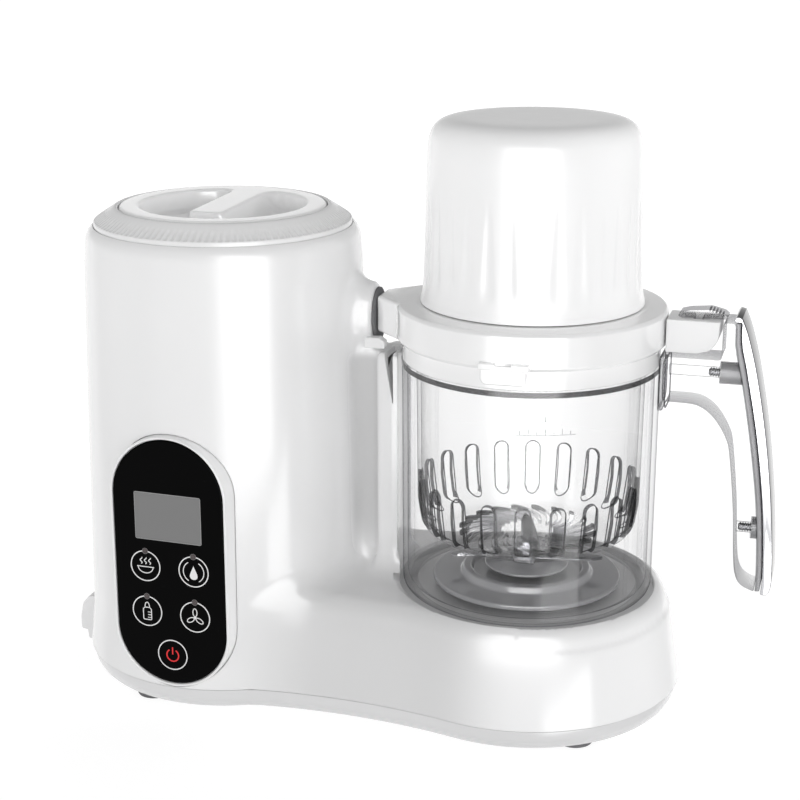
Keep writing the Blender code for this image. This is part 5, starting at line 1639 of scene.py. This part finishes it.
dome_outside = curve(DOME_SIDE, 2.2) + curve(DOME_SHOULDER, 1.2)[1:]
dome_profile = ([(0, DOME_TOP), (13.0, DOME_TOP)] + dome_outside[::-1]
                + [(49.4, DOME_FOOT), (46.9, DOME_FOOT), (46.6, 189.6)]
                + curve(DOME_INSIDE, 4.0) + [(0, DOME_UNDERSIDE)])
lathe("dome_shell", dome_profile, WHITE_DOME, "dome", 480, closed=False, shape=fluted,
      sharp=60, slot="white_gloss", cad="dome_cap")

# ===================================================================== pieces in CAD shape
FINISHES = {
    "heater_plate": ALLOY, "heating_element": STEEL, "thermostat": BRASS,
    "steam_tube": SILICONE, "display_module": GREY, "control_board": BOARD,
    "strain_relief": RUBBER, "mains_lead": DARK, "power_board": BOARD, "motor_can": STEEL,
    "stator_magnets": DARK, "motor_armature": STEEL, "motor_mount": GREY, "cooling_fan": GREY,
    "jar_switch_pin": GREY, "safety_switch": DARK,
}
for name, material in FINISHES.items():
    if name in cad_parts:
        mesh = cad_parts[name].data
        mesh.materials.clear()
        mesh.materials.append(material)
        mesh.shade_smooth()
        sharpen(mesh, 38)


def pin_spring():
    """Coil spring under the jar's safety pin, which travels 2 mm; the spring is built at one length.
    """
    low, high = [Vector(v) * 1000 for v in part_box("switch_spring")]
    wire, mid = 0.34, (low + high) / 2
    steps, turns, travel = 176, 5.5, 2.02
    radius, low_z, high_z = (high.x - low.x) / 2 - wire, low.z + wire, high.z - wire
    rings = []
    for i in range(steps + 1):
        t = i / steps
        a = math.tau * turns * t
        rise = float(np.interp(t, [0, 0.13, 0.87, 1], [0, 0.03, 0.97, 1]))
        out = Vector((math.cos(a), math.sin(a), 0))
        centre = Vector((mid.x, mid.y, low_z + (high_z - low_z) * rise)) + out * radius
        rings.append([tuple(centre + out * (wire * math.cos(w)) + Vector((0, 0, wire * math.sin(w))))
                      for w in (math.tau * j / 10 for j in range(10))])
    spring = loft("pin_spring", rings, STEEL, "base", sharp=70, slot="steel",
                  cad="switch_spring")
    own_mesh(spring)


pin_spring()


# ===================================================================== floor
def floor_material():
    """Near-white floor that turns into even light away from the product."""
    material, tree, shader = new_material("studio_floor")
    place = coords(tree)
    mottle = noise(tree, place, scale=6.0)
    feed(tree, shader, {
        "Base Color": ramp(tree, mottle, [(0.3, (0.94, 0.94, 0.942)), (0.7, (0.96, 0.96, 0.961))]),
        "Roughness": 0.6,
        "Specular IOR Level": 0.0,
    })
    # the glow is weaker as a light on the product than to the eye
    bounced = add(tree, "LightPath").outputs["Is Diffuse Ray"]
    glow = add(tree, "Emission", {"Color": rgba(1), "Strength": map_range(tree, bounced, 1.14, 0.66)})
    distance = add(tree, "VectorMath", {0: place}, operation="LENGTH").outputs["Value"]
    far = map_range(tree, distance, 0.78, 1.0, from_min=0.16, from_max=0.42, smooth=True)
    mixed = add(tree, "MixShader", {0: far, 1: shader.outputs[0], 2: glow.outputs[0]})
    feed(tree, tree.nodes["Material Output"], {"Surface": mixed.outputs[0]})
    return material


FLOOR_HALF = 3000.0
floor_corners = [(a * FLOOR_HALF, b * FLOOR_HALF, 0) for a, b in ((-1, -1), (1, -1), (1, 1), (-1, 1))]
floor = make("floor", floor_corners, [(0, 1, 2, 3)], floor_material(), None, smooth=False)
floor.visible_glossy = False


# ===================================================================== world
def studio_world():
    """Surroundings that differ for matte light, reflections, clear pieces and the camera."""
    world = bpy.data.worlds.new("studio")
    SCENE.world = world
    world.use_nodes = True
    tree = world.node_tree
    view = add(tree, "TexCoord").outputs["Generated"]

    def facing(direction):
        """How far the view turns to a direction: 0 away from it, 1 towards it."""
        dot = add(tree, "VectorMath", {0: view, 1: direction}, operation="DOT_PRODUCT")
        return map_range(tree, dot.outputs["Value"], from_min=-1.0)

    def product(first, first_stops, second, second_stops):
        return mix(tree, 1.0, ramp(tree, first, first_stops), ramp(tree, second, second_stops),
                   "MULTIPLY")

    up = facing((0, 0, 1))
    right = facing((math.cos(CAMERA_TURN), math.sin(CAMERA_TURN), 0))
    # matte surfaces: bright low down, dim overhead, stronger from the camera's right
    diffuse = product(
        up, [(0.0, 0.6), (0.48, 1.0), (0.54, 1.0), (0.62, 0.68), (0.74, 0.25), (0.86, 0.15),
             (1.0, 0.135)],
        right, [(0.0, 1.0), (0.5, 1.0), (0.78, 1.2), (1.0, 1.4)])
    # reflections: grey above, dark strips at the sides
    gloss = product(
        up, [(0.0, 0.46), (0.5, 0.50), (0.57, 0.26), (0.70, 0.15), (1.0, 0.16)],
        right, [(0.0, 0.75), (0.06, 0.55), (0.13, 1.0), (0.79, 1.0), (0.86, 0.35),
                (0.95, 0.22), (1.0, 0.5)])
    # through clear pieces: dark only for rays bent far sideways or up
    through = product(
        right, [(0.0, 0.10), (0.035, 0.25), (0.10, 0.47), (0.90, 0.47), (0.965, 0.25),
                (1.0, 0.10)],
        up, [(0.0, 1.0), (0.60, 1.0), (0.82, 0.45), (1.0, 0.35)])
    ray = add(tree, "LightPath").outputs
    colour = mix(tree, ray["Is Glossy Ray"], diffuse, gloss)
    colour = mix(tree, ray["Is Transmission Ray"], colour, through)
    colour = mix(tree, ray["Is Camera Ray"], colour, 0.50)
    feed(tree, tree.nodes["Background"], {"Color": colour, "Strength": 2.15})


studio_world()


# ===================================================================== light cards
def card(name, x0, x1, y, z0, z1, strength, soft):
    """An upright glowing card that only reflections see, fading out towards its edges."""
    def build(tree):
        uv = add(tree, "UVMap", uv_map="card").outputs["UV"]
        split = add(tree, "SeparateXYZ", {"Vector": uv}).outputs
        across, upward = (
            map_range(tree, calc(tree, "PINGPONG", split[key], 0.5), from_max=reach, smooth=True)
            for key, reach in (("X", soft), ("Y", soft * 0.6)))
        fade = calc(tree, "MULTIPLY", across, upward)
        glow = add(tree, "Emission", {"Strength": calc(tree, "MULTIPLY", fade, strength)})
        return fade, add(tree, "BsdfTransparent").outputs[0], glow.outputs[0]

    corners = [(x0, y, z0), (x1, y, z0), (x1, y, z1), (x0, y, z1)]
    obj = make(name, corners, [(0, 1, 2, 3)], surface_mix(name, build), None, smooth=False)
    layer = obj.data.uv_layers.new(name="card")
    for loop, uv in enumerate(((0, 0), (1, 0), (1, 1), (0, 1))):
        layer.data[loop].uv = uv
    for ray in ("camera", "diffuse", "transmission", "shadow"):
        setattr(obj, "visible_" + ray, False)


card("card_front", x0=-80, x1=280, y=-230, z0=-10, z1=420, strength=5.6, soft=0.24)
card("card_low", x0=128, x1=440, y=-232, z0=-190, z1=10, strength=5.5, soft=0.14)

# ===================================================================== camera and render
CAMERA_PITCH = math.radians(16.4)                        # downwards
lens = bpy.data.cameras.new("camera")
lens.lens = 81.0
lens.sensor_width = 36.0
lens.sensor_fit = "HORIZONTAL"
lens.clip_start = 0.05
lens.clip_end = 20
camera = bpy.data.objects.new("camera", lens)
SCENE.collection.objects.link(camera)
direction = Vector((-math.sin(CAMERA_TURN) * math.cos(CAMERA_PITCH),
                    math.cos(CAMERA_TURN) * math.cos(CAMERA_PITCH), -math.sin(CAMERA_PITCH)))
camera.location = ((JAR_X + 152.6) * MM, -0.7641, 0.3715)
camera.rotation_euler = direction.to_track_quat("-Z", "Y").to_euler()
SCENE.camera = camera
SCENE.view_settings.view_transform = "Standard"
SCENE.view_settings.look = "None"
SCENE.view_settings.exposure = 0.0
SCENE.cycles.max_bounces = 18
SCENE.cycles.transmission_bounces = 18
SCENE.cycles.glossy_bounces = 8
SCENE.cycles.transparent_max_bounces = 32
